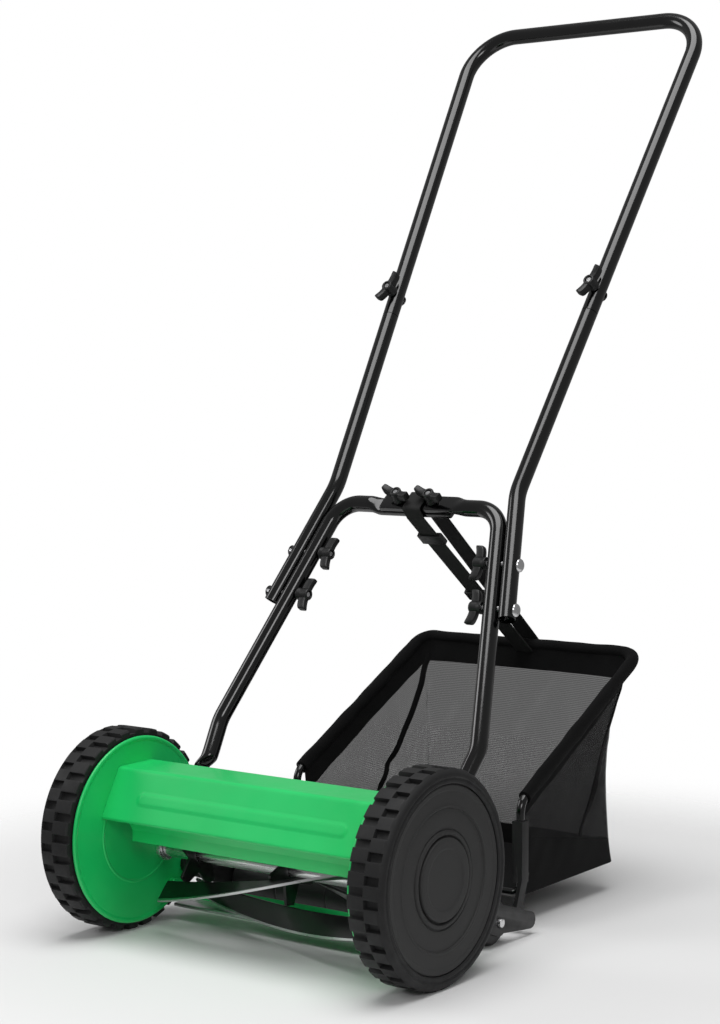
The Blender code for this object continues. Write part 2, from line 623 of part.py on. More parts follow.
def make_lower_leg(side_name, side):
    """A leg with a flat tab at the pivot, bent into half of the crossbar, which ends flat."""
    foot_x = PLATE_IN - PLATE_LIP - GAP - TAB_THICKNESS / 2
    pivot = Vector((foot_x, *PIVOT))
    bend = Vector(LEG_BEND)
    up = (bend - pivot).normalized()
    foot = Vector((PLATE_IN - PLATE_LIP - GAP - TUBE_RADIUS, 0, 0)) + Vector((0, pivot.y, pivot.z)) + up * TAB_LENGTH
    corner = leg_point(CROSSBAR_Z)
    path = rounded_path([foot, bend, corner, Vector((FLAT_HALF, CROSSBAR_Y, CROSSBAR_Z))], [0, LEG_RADIUS, CORNER_RADIUS, 0])
    leg = add_object(f"handle_lower_{side_name}", tube(mirrored(path, side), TUBE_RADIUS), "gloss_black")
    middle = CROSSBAR_SPOT + Vector((side * FLAT_END / 2, 0, 0)) + CROSS_FRONT * side * (FLAT_THICKNESS + GAP) / 2
    join(leg, box((2 * FLAT_HALF + FLAT_END, FLAT_THICKNESS, FLAT_HEIGHT), middle, CROSS_TURN))
    lean = Matrix.Rotation(math.atan2(up.z, up.y), 4, "X")
    tab_middle = Vector((side * foot_x, pivot.y, pivot.z)) + Vector((0, up.y, up.z)) * (TAB_LENGTH / 2)
    join(leg, box((TAB_THICKNESS, TAB_LENGTH + 0.022, 0.016), tab_middle, lean))
    cut(leg, rod(BOLT_RADIUS + GAP, 0.02, along_x(side * (foot_x - 0.01), *PIVOT, side), 12))
    for z in SIDE_BOLT_Z:
        bolt_hole(leg, mirrored([leg_point(z)], side)[0], (1, 0, 0), side)
    for x in (-CROSS_BOLT_X, CROSS_BOLT_X):
        ahead = CROSSBAR_SPOT + Vector((x, 0, 0)) + CROSS_FRONT * 0.02
        cut(leg, rod(BOLT_RADIUS + GAP, 0.04, facing(ahead, -CROSS_FRONT), 12))
    return leg


# ---- Bolts and knobs -----------------------------------------------------------------------------

def make_bolt(name, seat, direction, grip):
    """A round-headed bolt: its head bears on the seat, and its shank runs along the direction."""
    length = grip + KNOB_HEIGHT - 0.0008
    profile = [
        (0, -BOLT_HEAD_HEIGHT), (BOLT_HEAD * 0.6, -BOLT_HEAD_HEIGHT * 0.85), (BOLT_HEAD, -GAP),
        (BOLT_RADIUS, -GAP), (BOLT_RADIUS, length), (0, length),
    ]
    add_object(name, turned(profile[::-1], facing(seat, direction), 10), "steel")


def knob_mesh():
    """A wing knob standing on the XY plane, bored along Z."""
    bore = BOLT_RADIUS + GAP
    ring = [(KNOB_RADIUS, 0), (KNOB_RADIUS, KNOB_HEIGHT), (bore, KNOB_HEIGHT), (bore, 0)]
    boss = add_object("knob", turned(ring[::-1], Matrix(), 16))
    reach = KNOB_SPAN / 2
    wing = bmesh.new()
    for side in (-1, 1):
        cube = bmesh.ops.create_cube(wing, size=1)["verts"]
        length = reach - bore - 0.001
        bmesh.ops.scale(wing, vec=(length, KNOB_WING, KNOB_HEIGHT * 0.62), verts=cube)
        bmesh.ops.translate(wing, vec=(side * (reach - length / 2), 0, KNOB_HEIGHT * 0.66), verts=cube)
        for vert in cube:
            if abs(vert.co.x) > reach - 0.001:
                vert.co.z += 0.0035
    boss.parent = None
    join(boss, mesh_of(wing)).modifiers["Union"].object.parent = None
    return baked(boss)


def make_knob(name, shape, seat, direction, turn):
    mesh = shape.copy()
    mesh.transform(facing(seat, direction) @ Matrix.Rotation(turn, 4, "Z"))
    add_object(name, mesh, "plastic")


def make_fasteners():
    shape = knob_mesh()
    for side_name, side in SIDES:
        cross = CROSSBAR_SPOT + Vector((side * CROSS_BOLT_X, 0, 0))
        depth = FLAT_THICKNESS + GAP / 2
        fasten(f"crossbar_{side_name}", shape, cross, CROSS_FRONT, depth, depth, CROSS_KNOB_TURN)
        upper = mirrored([UPPER_BOLT], side)[0]
        upper_front = Vector((side * UPPER_FRONT.x, UPPER_FRONT.y, UPPER_FRONT.z))
        fasten(f"upper_{side_name}", shape, upper, upper_front, TUBE_RADIUS, TUBE_RADIUS, UPPER_KNOB_TURN)
        for number, z in enumerate(SIDE_BOLT_Z):
            name = f"{('top', 'bottom')[number]}_{side_name}"
            leg = mirrored([leg_point(z)], side)[0]
            slack = TUBE_RADIUS / math.sqrt(1 - SLOPE.x ** 2) + 0.0006
            fasten(name, shape, leg, Vector((-side, 0, 0)), slack, slack + TUBE_OFFSET, SIDE_KNOB_TURN[side])


def fasten(name, shape, at, direction, ahead, behind, turn):
    """A bolt through a joint: its head behind the middle of the stack, its knob ahead of it."""
    lift = 0.0008
    make_bolt(f"bolt_{name}", at - direction * (behind + GAP), direction, ahead + behind + lift)
    make_knob(f"knob_{name}", shape, at + direction * (ahead + lift), direction, turn)


# ---- Strap ---------------------------------------------------------------------------------------

REAR_BAR_SPOT = Vector((0, CATCHER_REAR, CATCHER_REAR_TOP))


def belt(circles, step):
    """A taut loop round circles of (centre, radius) in the YZ plane, and the outward angle of each run."""
    count = len(circles)
    angles = []
    for i, (centre, radius) in enumerate(circles):
        far_centre, far_radius = circles[(i + 1) % count]
        run = far_centre - centre
        angles.append(math.atan2(run.y, run.x) - math.acos((radius - far_radius) / run.length))
    path = []
    for i, (centre, radius) in enumerate(circles):
        sweep = (angles[i] - angles[i - 1]) % (2 * math.pi)
        steps = max(1, math.ceil(sweep / step))
        for n in range(steps + 1):
            path.append(centre + Vector(polar(radius, angles[i - 1] + sweep * n / steps)))
    return path, angles


def make_strap():
    """One loop of webbing round the crossbar and the catcher's rear rod, with two sliders on it."""
    bar = CROSSBAR_SPOT.yz
    rod_end = REAR_BAR_SPOT.yz
    reach_y = FLAT_THICKNESS + STRAP_SLACK + STRAP_THICKNESS / 2 - STRAP_CORNER
    reach_z = FLAT_HEIGHT / 2 + STRAP_SLACK + STRAP_THICKNESS / 2 - STRAP_CORNER
    turned_corners = (CROSS_TURN @ Vector((0, y * reach_y, z * reach_z)) for y, z in ((-1, 1), (-1, -1), (1, -1)))
    corners = [bar + corner.yz for corner in turned_corners]
    circles = [(rod_end, STRAP_END_LOOP)] + [(corner, STRAP_CORNER) for corner in corners]
    path, angles = belt(circles, math.radians(36))
    mesh = bpy.data.meshes.new("strap")
    verts = [(side * STRAP_WIDTH / 2, p.x, p.y) for p in path for side in (-1, 1)]
    count = len(path)
    ends = [(i, (i + 1) % count) for i in range(count)]
    mesh.from_pydata(verts, [], [(2 * i, 2 * i + 1, 2 * j + 1, 2 * j) for i, j in ends])
    add_object("strap", thickened(mesh, STRAP_THICKNESS), "fabric")
    normal = Vector(polar(1, angles[-1]))
    start = corners[-1] + normal * STRAP_CORNER
    end = rod_end + normal * STRAP_END_LOOP
    for name, share in (("upper", 0.14), ("lower", 0.56)):
        at = start.lerp(end, share)
        run = (end - start).normalized()
        make_slider(name, Vector((0, *at)), Vector((0, *run)), Vector((0, *normal)))


def make_slider(name, at, run, normal):
    """A flat frame that the lower run passes through."""
    turn = Matrix((Vector((1, 0, 0)), run, normal)).transposed().to_4x4()
    opening = (STRAP_WIDTH + 0.0012, 0.04, STRAP_THICKNESS + 0.0008)
    body = box((STRAP_WIDTH + 0.007, 0.014, opening[2] + 0.0032), at, turn)
    cut(add_object(f"strap_slider_{name}", body, "plastic"), box(opening, at, turn))


# ---- Catcher -------------------------------------------------------------------------------------

def make_catcher():
    half, front, rear = CATCHER_HALF, CATCHER_FRONT, CATCHER_REAR
    corners = [
        (half, front, CATCHER_LOW), (half, front, CATCHER_FRONT_TOP), (half, rear, CATCHER_REAR_TOP),
        (-half, rear, CATCHER_REAR_TOP), (-half, front, CATCHER_FRONT_TOP), (-half, front, CATCHER_LOW),
    ]
    path = rounded_path(corners, [0.008] + [ROD_CORNER] * 4 + [0.008], math.radians(24), closed=True)
    add_object("catcher_frame", tube(path, ROD_RADIUS, sides_setting=2, closed=True), "gloss_black")
    make_bag()
    for side_name, side in SIDES:
        make_post(side_name, side)


def make_bag():
    """The open-topped, open-fronted bag that hangs inside the frame."""
    half = CATCHER_HALF - ROD_RADIUS - GAP - BAG_WALL
    front = CATCHER_FRONT + POST_SIZE / 2 + BAG_WALL
    rear = CATCHER_REAR - ROD_RADIUS - GAP - BAG_WALL
    foot = BAG_FOOT + BAG_WALL / 2
    slope = (CATCHER_REAR_TOP - CATCHER_FRONT_TOP) / (CATCHER_REAR - CATCHER_FRONT)
    mesh = bpy.data.meshes.new("bag")
    section = [
        (front, foot), (BAG_REAR_FOOT_Y, foot + 0.001), (rear, CATCHER_REAR_TOP - BAG_DROP),
        (front, CATCHER_FRONT_TOP + (front - CATCHER_FRONT) * slope - BAG_DROP),
    ]
    verts = [(side * half, y, z) for side in (-1, 1) for y, z in section]
    mesh.from_pydata(verts, [], [(0, 4, 5, 1), (1, 5, 6, 2), (0, 1, 2, 3), (7, 6, 5, 4)])
    bag = add_object("catcher_bag", thickened(mesh, BAG_WALL), "fabric")
    notch = (STRAP_WIDTH + 0.008, 0.030, 2 * STRAP_END_LOOP + 0.010)
    cut(bag, box(notch, REAR_BAR_SPOT))


def make_post(side_name, side):
    """A plastic sleeve on the frame's upright, with an ear that hooks on the bracket's pin."""
    x = side * CATCHER_HALF
    middle = (x, CATCHER_FRONT, (POST_LOW + POST_HIGH) / 2)
    post = add_object(
        f"catcher_post_{side_name}", box((POST_SIZE, POST_SIZE, POST_HIGH - POST_LOW), middle), "plastic")
    ear_x = side * (CATCHER_HALF + POST_SIZE / 2 - 0.002)
    low, high = Vector((ear_x, HOOK[0], HOOK[1])), Vector((ear_x, CATCHER_FRONT, POST_LOW + 0.004))
    along = (high - low).normalized()
    length = (high - low).length + 0.012
    join(post, box((0.004, 0.010, length), low.lerp(high, 0.5), turn_about_x(along)))
    cut(post, rod(ROD_RADIUS + GAP, 0.1, Matrix.Translation((x, CATCHER_FRONT, POST_LOW - 0.01)), 16))
    cut(post, rod(HOOK_RADIUS + GAP, 0.02, along_x(ear_x - side * 0.01, *HOOK, side), 12))
    return post


def turn_about_x(direction):
    """A turn about X that lays +Z along a direction of the YZ plane."""
    return Matrix.Rotation(-math.atan2(direction.y, direction.z), 4, "X")


# ---- Roller --------------------------------------------------------------------------------------

BRACKET_IN = PLATE_IN - PLATE_LIP - GAP - BRACKET_THICKNESS
BRACKET_PIN_ROUND, BRACKET_FOOT_ROUND = 0.011, 0.0125
BRACKET_PIN_TURN, BRACKET_FOOT_TURN = math.radians(245), math.radians(235)


def bracket_underside(y):
    """How high a bracket's lower edge is at y."""
    high = Vector(BRACKET_PIN) + Vector(polar(BRACKET_PIN_ROUND, BRACKET_PIN_TURN))
    low = Vector((ROLLER_Y, ROLLER_RADIUS)) + Vector(polar(BRACKET_FOOT_ROUND, BRACKET_FOOT_TURN))
    return high.y + (low.y - high.y) * (y - high.x) / (low.x - high.x)


def make_bracket(side_name, side):
    """A lever from the side plate to the roller, with a tail and a pin that carry the catcher."""
    outline = []
    rounds = (
        (BRACKET_PIN, BRACKET_PIN_ROUND, math.radians(75), BRACKET_PIN_TURN),
        ((ROLLER_Y, ROLLER_RADIUS), BRACKET_FOOT_ROUND, BRACKET_FOOT_TURN, math.radians(300)),
        (HOOK, 0.0078, math.radians(-95), math.radians(75)),
    )
    for (y, z), radius, first, last in rounds:
        for n in range(7):
            spot = polar(radius, first + (last - first) * n / 6)
            outline.append((y + spot[0], z + spot[1]))
    outline.append((ROLLER_Y + 0.004, ROLLER_RADIUS + 0.016))
    frame = Matrix.Translation((side * BRACKET_IN, 0, 0)) @ Matrix(
        ((0, 0, side, 0), (1, 0, 0, 0), (0, 1, 0, 0), (0, 0, 0, 1)))
    bracket = add_object(f"roller_bracket_{side_name}", prism(outline, BRACKET_THICKNESS, frame), "plastic")
    cut(bracket, rod(BOLT_RADIUS + GAP, 0.03, along_x(side * (PLATE_IN - 0.015), *BRACKET_PIN, side), 12))
    cut(bracket, rod(
        AXLE_ROD_RADIUS + GAP, 0.03, along_x(side * (PLATE_IN - 0.015), ROLLER_Y, ROLLER_RADIUS, side), 12))
    pin_length = BRACKET_IN - (CATCHER_HALF + POST_SIZE / 2 - 0.006)
    join(bracket, rod(HOOK_RADIUS, pin_length, along_x(side * (BRACKET_IN + 0.001), *HOOK, -side), 12))
    return bracket


def make_roller():
    end = PLATE_IN + 0.0015
    bolt = rod(AXLE_ROD_RADIUS, 2 * end, along_x(-end, ROLLER_Y, ROLLER_RADIUS), 12)
    add_object("roller_axle", bolt, "steel")
    length = BRACKET_IN - 0.002
    profile = [
        (ROLLER_RADIUS - 0.002, length), (ROLLER_RADIUS, length - 0.002), (ROLLER_RADIUS, 0.002 - length),
        (ROLLER_RADIUS - 0.002, -length), (AXLE_ROD_RADIUS + GAP, -length), (AXLE_ROD_RADIUS + GAP, length),
    ]
    roller = turned(profile, along_x(0, ROLLER_Y, ROLLER_RADIUS), 24)
    add_object("rear_roller", roller, "plastic")


# ---- Assembly ------------------------------------------------------------------------------------

def set_axes():
    """Gives each moving piece its origin on its joint's axis."""
    axes = {}
    for side_name, side in SIDES:
        for name in ("tyre", "wheel", "hub_cap"):
            axes[f"{name}_{side_name}"] = Vector((0, 0, AXLE_Z))
    for obj in PARTS.objects:
        name = obj.name
        if name.startswith(("reel_shaft", "reel_spider", "reel_blade", "pinion")):
            axes[name] = Vector((0, REEL_Y, REEL_Z))
        elif name.startswith("handle"):
            axes[name] = Vector((0, *PIVOT))
        elif name.startswith("catcher"):
            axes[name] = Vector((0, *HOOK))
        elif name.startswith("strap"):
            axes[name] = CROSSBAR_SPOT
    axes["rear_roller"] = Vector((0, ROLLER_Y, ROLLER_RADIUS))
    for name, at in axes.items():
        obj = PARTS.objects[name]
        obj.data.transform(Matrix.Translation(-at))
        obj.location = at


def main():
    for side_name, side in SIDES:
        make_tyre(side_name, side)
        make_rim(side_name, side)
        make_hub_cap(side_name, side)
        make_axle_stub(side_name, side)
        make_side_plate(side_name, side)
        make_mid_tube(side_name, side)
        make_lower_leg(side_name, side)
        make_bracket(side_name, side)
    make_deck()
    make_cutter_bar()
    make_reel()
    make_upper_handle()
    make_fasteners()
    make_strap()
    make_catcher()
    make_roller()
    set_axes()


main()
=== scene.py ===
"""Studio picture of a push reel mower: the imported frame, dressed with finished surfaces and fabric.

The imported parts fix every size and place. This script rebuilds each visible part with fine edges,
tread, weave and seams, gives every part a procedural finish, and stands the mower on a pale floor.
"""

from __future__ import annotations

import logging
import math
from abc import ABC, abstractmethod
from collections.abc import Callable, Iterable, Sequence
from dataclasses import dataclass, field
from enum import Enum

import bmesh
import bpy
from mathutils import Matrix, Vector


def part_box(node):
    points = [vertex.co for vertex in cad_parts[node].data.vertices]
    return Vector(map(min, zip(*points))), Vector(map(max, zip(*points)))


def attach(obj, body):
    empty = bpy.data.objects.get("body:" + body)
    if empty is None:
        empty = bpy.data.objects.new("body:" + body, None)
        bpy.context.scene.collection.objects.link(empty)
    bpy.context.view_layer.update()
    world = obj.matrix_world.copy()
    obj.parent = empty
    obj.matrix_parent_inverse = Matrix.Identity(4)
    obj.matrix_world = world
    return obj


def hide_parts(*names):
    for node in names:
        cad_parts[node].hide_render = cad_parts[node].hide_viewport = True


LOG = logging.getLogger("mower")
TAU = 2 * math.pi
WAVE_PER_UNIT = 3.1831    # bands of the wave texture in one unit, at scale 1
Colour = tuple[float, float, float]


class Side(Enum):
    """Which side of the mower a paired part is on, with its sign along X."""

    LEFT = ("left", -1)
    RIGHT = ("right", 1)

    @property
    def label(self) -> str:
        """The word used in part names."""
        return self.value[0]

    @property
    def sign(self) -> int:
        """The direction along X."""
        return self.value[1]


# ---- Finishes ------------------------------------------------------------------------------------


class Graph:
    """A short way to add and join shader nodes."""

    def __init__(self, name: str) -> None:
        """Makes an empty material of that name with an output and a Principled shader."""
        self.material = bpy.data.materials.new(name)
        self.material.use_nodes = True
        self.tree = self.material.node_tree
        self.shader = self.tree.nodes["Principled BSDF"]
        self.output = self.tree.nodes["Material Output"]

    def add(self, kind: str, **settings: object) -> bpy.types.Node:
        """Adds a node.

        Args:
            kind: the node's type name.
            settings: properties to set, or input values where the name is one of its inputs.

        Returns:
            The new node.
        """
        node = self.tree.nodes.new(kind)
        for key, value in settings.items():
            if hasattr(node, key):
                setattr(node, key, value)
            else:
                node.inputs[key.replace("_", " ")].default_value = value
        return node

    def link(self, start: bpy.types.NodeSocket, end: bpy.types.NodeSocket) -> None:
        """Joins an output to an input."""
        self.tree.links.new(start, end)

    def noise(self, scale: float, detail: float = 3.0, stretch: Colour = (1, 1, 1)) -> bpy.types.NodeSocket:
        """A noise on object coordinates.

        Args:
            scale: cells per metre.
            detail: octaves.
            stretch: the scale along each axis.

        Returns:
            The noise's value.
        """
        where = self.add("ShaderNodeTexCoord")
        mapping = self.add("ShaderNodeMapping", Scale=stretch)
        noise = self.add("ShaderNodeTexNoise", Scale=scale, Detail=detail)
        self.link(where.outputs["Object"], mapping.inputs["Vector"])
        self.link(mapping.outputs["Vector"], noise.inputs["Vector"])
        return noise.outputs["Fac"]

    def ramp(self, value: bpy.types.NodeSocket, low: float, high: float) -> bpy.types.NodeSocket:
        """Maps 0.3..0.7 of a value onto low..high."""
        node = self.add("ShaderNodeMapRange", From_Min=0.3, From_Max=0.7, To_Min=low, To_Max=high)
        self.link(value, node.inputs["Value"])
        return node.outputs["Result"]

    def tint(self, value: bpy.types.NodeSocket, dark: Colour, light: Colour) -> bpy.types.NodeSocket:
        """Mixes two colours by a value and returns the colour."""
        node = self.add("ShaderNodeMix", data_type="RGBA")
        node.inputs["A"].default_value = (*dark, 1)
        node.inputs["B"].default_value = (*light, 1)
        self.link(value, node.inputs["Factor"])
        return node.outputs["Result"]

    def bump(self, height: bpy.types.NodeSocket, distance: float, strength: float = 1.0) -> None:
        """Gives the shader a bump of that height in metres, on top of any it has."""
        node = self.add("ShaderNodeBump", Distance=distance, Strength=strength)
        self.link(height, node.inputs["Height"])
        if self.shader.inputs["Normal"].links:
            self.link(self.shader.inputs["Normal"].links[0].from_socket, node.inputs["Normal"])
        self.link(node.outputs["Normal"], self.shader.inputs["Normal"])


@dataclass(frozen=True)
class Finish(ABC):
    """A surface finish, made into a material once and shared by the parts that wear it."""

    name: str
    slot: str

    def material(self) -> bpy.types.Material:
        """The finish's material, made on first use."""
        found = bpy.data.materials.get(self.name)
        return found or self.build()

    @abstractmethod
    def build(self) -> bpy.types.Material:
        """Makes the material."""


@dataclass(frozen=True)
class Coating(Finish):
    """Paint or enamel on metal: even colour, faint orange peel and a clear gloss."""

    dark: Colour
    light: Colour
    roughness: float
    coat: float
    peel: float = 0.00004
    coat_roughness: float = 0.08

    def build(self) -> bpy.types.Material:
        """Makes the coated-metal material."""
        graph = Graph(self.name)
        shade = graph.ramp(graph.noise(9.0, 2.0), 0.0, 1.0)
        graph.link(graph.tint(shade, self.dark, self.light), graph.shader.inputs["Base Color"])
        polish = graph.ramp(graph.noise(55.0, 4.0), self.roughness * 0.85, self.roughness * 1.2)
        graph.link(polish, graph.shader.inputs["Roughness"])
        graph.shader.inputs["Coat Weight"].default_value = self.coat
        graph.shader.inputs["Coat Roughness"].default_value = self.coat_roughness
        graph.bump(graph.noise(420.0, 2.0), self.peel)
        return graph.material


@dataclass(frozen=True)
class Moulding(Finish):
    """Moulded plastic or rubber: dark, with a fine spark-eroded grain and slight scuffing."""

    colour: Colour
    roughness: float
    grain: float
    grain_scale: float = 1500.0
    specular: float = 0.5

    def build(self) -> bpy.types.Material:
        """Makes the moulded material."""
        graph = Graph(self.name)
        dark = tuple(c * 0.8 for c in self.colour)
        light = tuple(c * 1.25 for c in self.colour)
        graph.link(graph.tint(graph.noise(38.0, 5.0), dark, light), graph.shader.inputs["Base Color"])
        rough = graph.ramp(graph.noise(90.0, 5.0), self.roughness * 0.9, min(1.0, self.roughness * 1.15))
        graph.link(rough, graph.shader.inputs["Roughness"])
        graph.shader.inputs["Specular IOR Level"].default_value = self.specular
        graph.bump(graph.noise(self.grain_scale, 2.0), self.grain)
        return graph.material


@dataclass(frozen=True)
class Metal(Finish):
    """Bare or plated steel, drawn along X, with fine machining lines."""

    colour: Colour
    roughness: float

    def build(self) -> bpy.types.Material:
        """Makes the bare-metal material."""
        graph = Graph(self.name)
        graph.shader.inputs["Metallic"].default_value = 1.0
        dark = tuple(c * 0.75 for c in self.colour)
        graph.link(graph.tint(graph.noise(60.0, 4.0), dark, self.colour), graph.shader.inputs["Base Color"])
        lines = graph.noise(700.0, 2.0, stretch=(0.05, 1, 1))
        graph.link(
            graph.ramp(lines, self.roughness * 0.8, self.roughness * 1.3), graph.shader.inputs["Roughness"]
        )
        graph.bump(lines, 0.00002)
        return graph.material


@dataclass(frozen=True)
class Cloth(Finish):
    """Woven cloth on a UV map in metres: two crossed sets of threads, see-through where it is open."""

    colour: Colour
    pitch: float
    depth: float
    openness: float = 0.0
    sheen: float = 0.05
    aspect: float = 1.0
    wander: float = 0.6
    hollow_shade: float = 0.55
    roughness: float = 0.85
    specular: float = 0.12

    def build(self) -> bpy.types.Material:
        """Makes the cloth material."""
        graph = Graph(self.name)
        where = graph.add("ShaderNodeUVMap", uv_map="cloth")
        waves = []
        for direction, scale in (("X", 1.0), ("Y", self.aspect)):
            wave = graph.add(
                "ShaderNodeTexWave", bands_direction=direction, Scale=scale / self.pitch / WAVE_PER_UNIT
            )
            wave.inputs["Distortion"].default_value = self.wander
            graph.link(where.outputs["UV"], wave.inputs["Vector"])
            waves.append(wave.outputs["Fac"])
        threads = graph.add("ShaderNodeMath", operation="MAXIMUM")
        for socket, wave in zip(threads.inputs, waves):
            graph.link(wave, socket)
        dark = tuple(c * self.hollow_shade for c in self.colour)
        graph.link(graph.tint(threads.outputs[0], dark, self.colour), graph.shader.inputs["Base Color"])
        graph.shader.inputs["Roughness"].default_value = self.roughness
        graph.shader.inputs["Sheen Weight"].default_value = self.sheen
        graph.shader.inputs["Specular IOR Level"].default_value = self.specular
        graph.bump(threads.outputs[0], self.depth)
        graph.bump(graph.noise(70.0, 4.0), self.depth * 4, 0.5)
        if self.openness:
            cover = graph.add("ShaderNodeMapRange", From_Min=0.35, From_Max=0.95)
            cover.inputs["To Min"].default_value = 1 - 1.35 * self.openness
            cover.inputs["To Max"].default_value = 1 - 0.65 * self.openness
            graph.link(threads.outputs[0], cover.inputs["Value"])
            graph.link(cover.outputs["Result"], graph.shader.inputs["Alpha"])
        return graph.material


GREEN = Coating("green_powder_coat", "green_paint", (0.008, 0.55, 0.125), (0.011, 0.63, 0.150), 0.36, 0.2)
TUBE_ENAMEL = Coating(
    "black_tube_enamel", "tube_enamel", (0.0012, 0.0012, 0.0013), (0.002, 0.002, 0.0022), 0.14, 0.3, 0.00001
)
BLADE_ENAMEL = Coating(
    "black_blade_enamel", "blade_enamel", (0.002, 0.002, 0.002), (0.005, 0.005, 0.0055), 0.32, 0.15
)
TREAD_RUBBER = Moulding("tread_rubber", "tyre_rubber", (0.0085, 0.0085, 0.009), 0.62, 0.00005, specular=0.4)
WHEEL_PLASTIC = Moulding(
    "wheel_plastic", "wheel_plastic", (0.0105, 0.0105, 0.011), 0.50, 0.00003, specular=0.45
)
BLACK_PLASTIC = Moulding(
    "knob_plastic", "black_plastic", (0.007, 0.007, 0.0074), 0.44, 0.00003, specular=0.45
)
ZINC = Metal("bright_zinc", "bright_steel", (0.78, 0.78, 0.79), 0.24)
GROUND_STEEL = Metal("ground_steel", "bright_steel", (0.70, 0.70, 0.71), 0.32)
NET = Cloth(
    "net_cloth", "bag_fabric", (0.013, 0.013, 0.0135), 0.0011, 0.00012, openness=0.36, sheen=0.02, aspect=0.6
)
BAND_CLOTH = Cloth("band_cloth", "bag_fabric", (0.0040, 0.0040, 0.0042), 0.0009, 0.00015, sheen=0.02)
HEM_CLOTH = Cloth("hem_cloth", "bag_fabric", (0.0030, 0.0030, 0.0032), 0.0008, 0.0002, sheen=0.02)
WEBBING = Cloth("webbing", "webbing", (0.0035, 0.0035, 0.0037), 0.0018, 0.0004, sheen=0.02, aspect=0.25)


# ---- Shaping tools -------------------------------------------------------------------------------


def shown(name: str, data: bpy.types.ID) -> bpy.types.Object:
    """A new object in the scene's collection."""
    made = bpy.data.objects.new(name, data)
    bpy.context.scene.collection.objects.link(made)
    return made


def dress(mesh: bpy.types.Mesh, finishes: Iterable[Finish], smooth_angle: float = 32.0) -> bpy.types.Mesh:
    """Gives a mesh its finishes in order and smooth shading with sharp edges past an angle in degrees."""
    mesh.materials.clear()
    for finish in finishes:
        mesh.materials.append(finish.material())
    mesh.shade_smooth()
    mesh.set_sharp_from_angle(angle=math.radians(smooth_angle))
    return mesh


def place(
    name: str, mesh: bpy.types.Mesh, finishes: Sequence[Finish], body: str, nodes: Iterable[str] = (),
) -> bpy.types.Object:
    """Adds a finished piece to the scene and to the frame.

    Args:
        name: the piece's name.
        mesh: its mesh, in place.
        finishes: the finishes, given to the mesh's material slots in order.
        body: the frame body that it moves with.
        nodes: the frame nodes that it stands for.

    Returns:
        The piece.
    """
    piece = shown(name, dress(mesh, finishes))
    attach(piece, body)
    if nodes:
        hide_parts(*nodes)
    LOG.info("%s: %d faces", name, len(mesh.polygons))
    return piece


def raw(name: str, verts: Sequence[Vector], faces: Sequence[Sequence[int]]) -> bpy.types.Mesh:
    """A mesh of exactly these points and faces."""
    mesh = bpy.data.meshes.new(name)
    mesh.from_pydata([tuple(v) for v in verts], [], faces)
    return mesh


def cleaned(mesh: bpy.types.Mesh, merge: float = 0.0) -> bpy.types.Mesh:
    """The mesh with outward normals, and with points closer than a distance merged."""
    bm = bmesh.new()
    bm.from_mesh(mesh)
    if merge:
        bmesh.ops.remove_doubles(bm, verts=bm.verts, dist=merge)
    bmesh.ops.recalc_face_normals(bm, faces=bm.faces)
    bm.to_mesh(mesh)
    bm.free()
    return mesh


def mesh_from(verts: Sequence[Vector], faces: Sequence[Sequence[int]], merge: float = 1e-6) -> bpy.types.Mesh:
    """A mesh with outward normals from points and faces, its doubles merged."""
    return cleaned(raw("shape", verts, faces), merge)


def between(a: int, b: int, count: int) -> list[tuple[int, int, int, int]]:
    """The faces that join two rings of points, which start at a and b."""
    return [(a + n, a + (n + 1) % count, b + (n + 1) % count, b + n) for n in range(count)]


def baked(helper: bpy.types.Object) -> bpy.types.Mesh:
    """The mesh that an object's modifiers make; the object itself is removed."""
    bpy.context.view_layer.update()
    graph = bpy.context.evaluated_depsgraph_get()
    result = bpy.data.meshes.new_from_object(helper.evaluated_get(graph))
    bpy.data.objects.remove(helper)
    return result


def applied(mesh: bpy.types.Mesh, *modifiers: tuple[str, dict[str, object]]) -> bpy.types.Mesh:
    """The mesh after a stack of modifiers.

    Args:
        mesh: the starting mesh.
        modifiers: pairs of a modifier type and its settings.

    Returns:
        A plain mesh.
    """
    helper = shown("helper", mesh)
    for kind, settings in modifiers:
        modifier = helper.modifiers.new(kind.title(), kind)
        for key, value in settings.items():
            setattr(modifier, key, value)
    return baked(helper)


def softened(mesh: bpy.types.Mesh, width: float, segments: int = 2, angle: float = 30.0) -> bpy.types.Mesh:
    """The mesh with its sharp edges rounded by a width."""
    settings = {
        "width": width, "segments": segments, "limit_method": "ANGLE", "angle_limit": math.radians(angle)
    }
    return applied(mesh, ("BEVEL", settings))


def lathe(profile: Sequence[tuple[float, float]], frame: Matrix, steps: int = 96) -> bpy.types.Mesh:
    """A closed profile of (radius, height) turned about a frame's +Z; points on the axis make poles."""
    verts, faces = [], []
    count = len(profile)
    for step in range(steps):
        angle = TAU * step / steps
        verts += [frame @ Vector((r * math.cos(angle), r * math.sin(angle), z)) for r, z in profile]
    for step in range(steps):
        here, there = step * count, (step + 1) % steps * count
        for i in range(count):
            j = (i + 1) % count
            if profile[i][0] > 0 or profile[j][0] > 0:
                faces.append((here + i, here + j, there + j, there + i))
    return mesh_from(verts, faces, 1e-7)


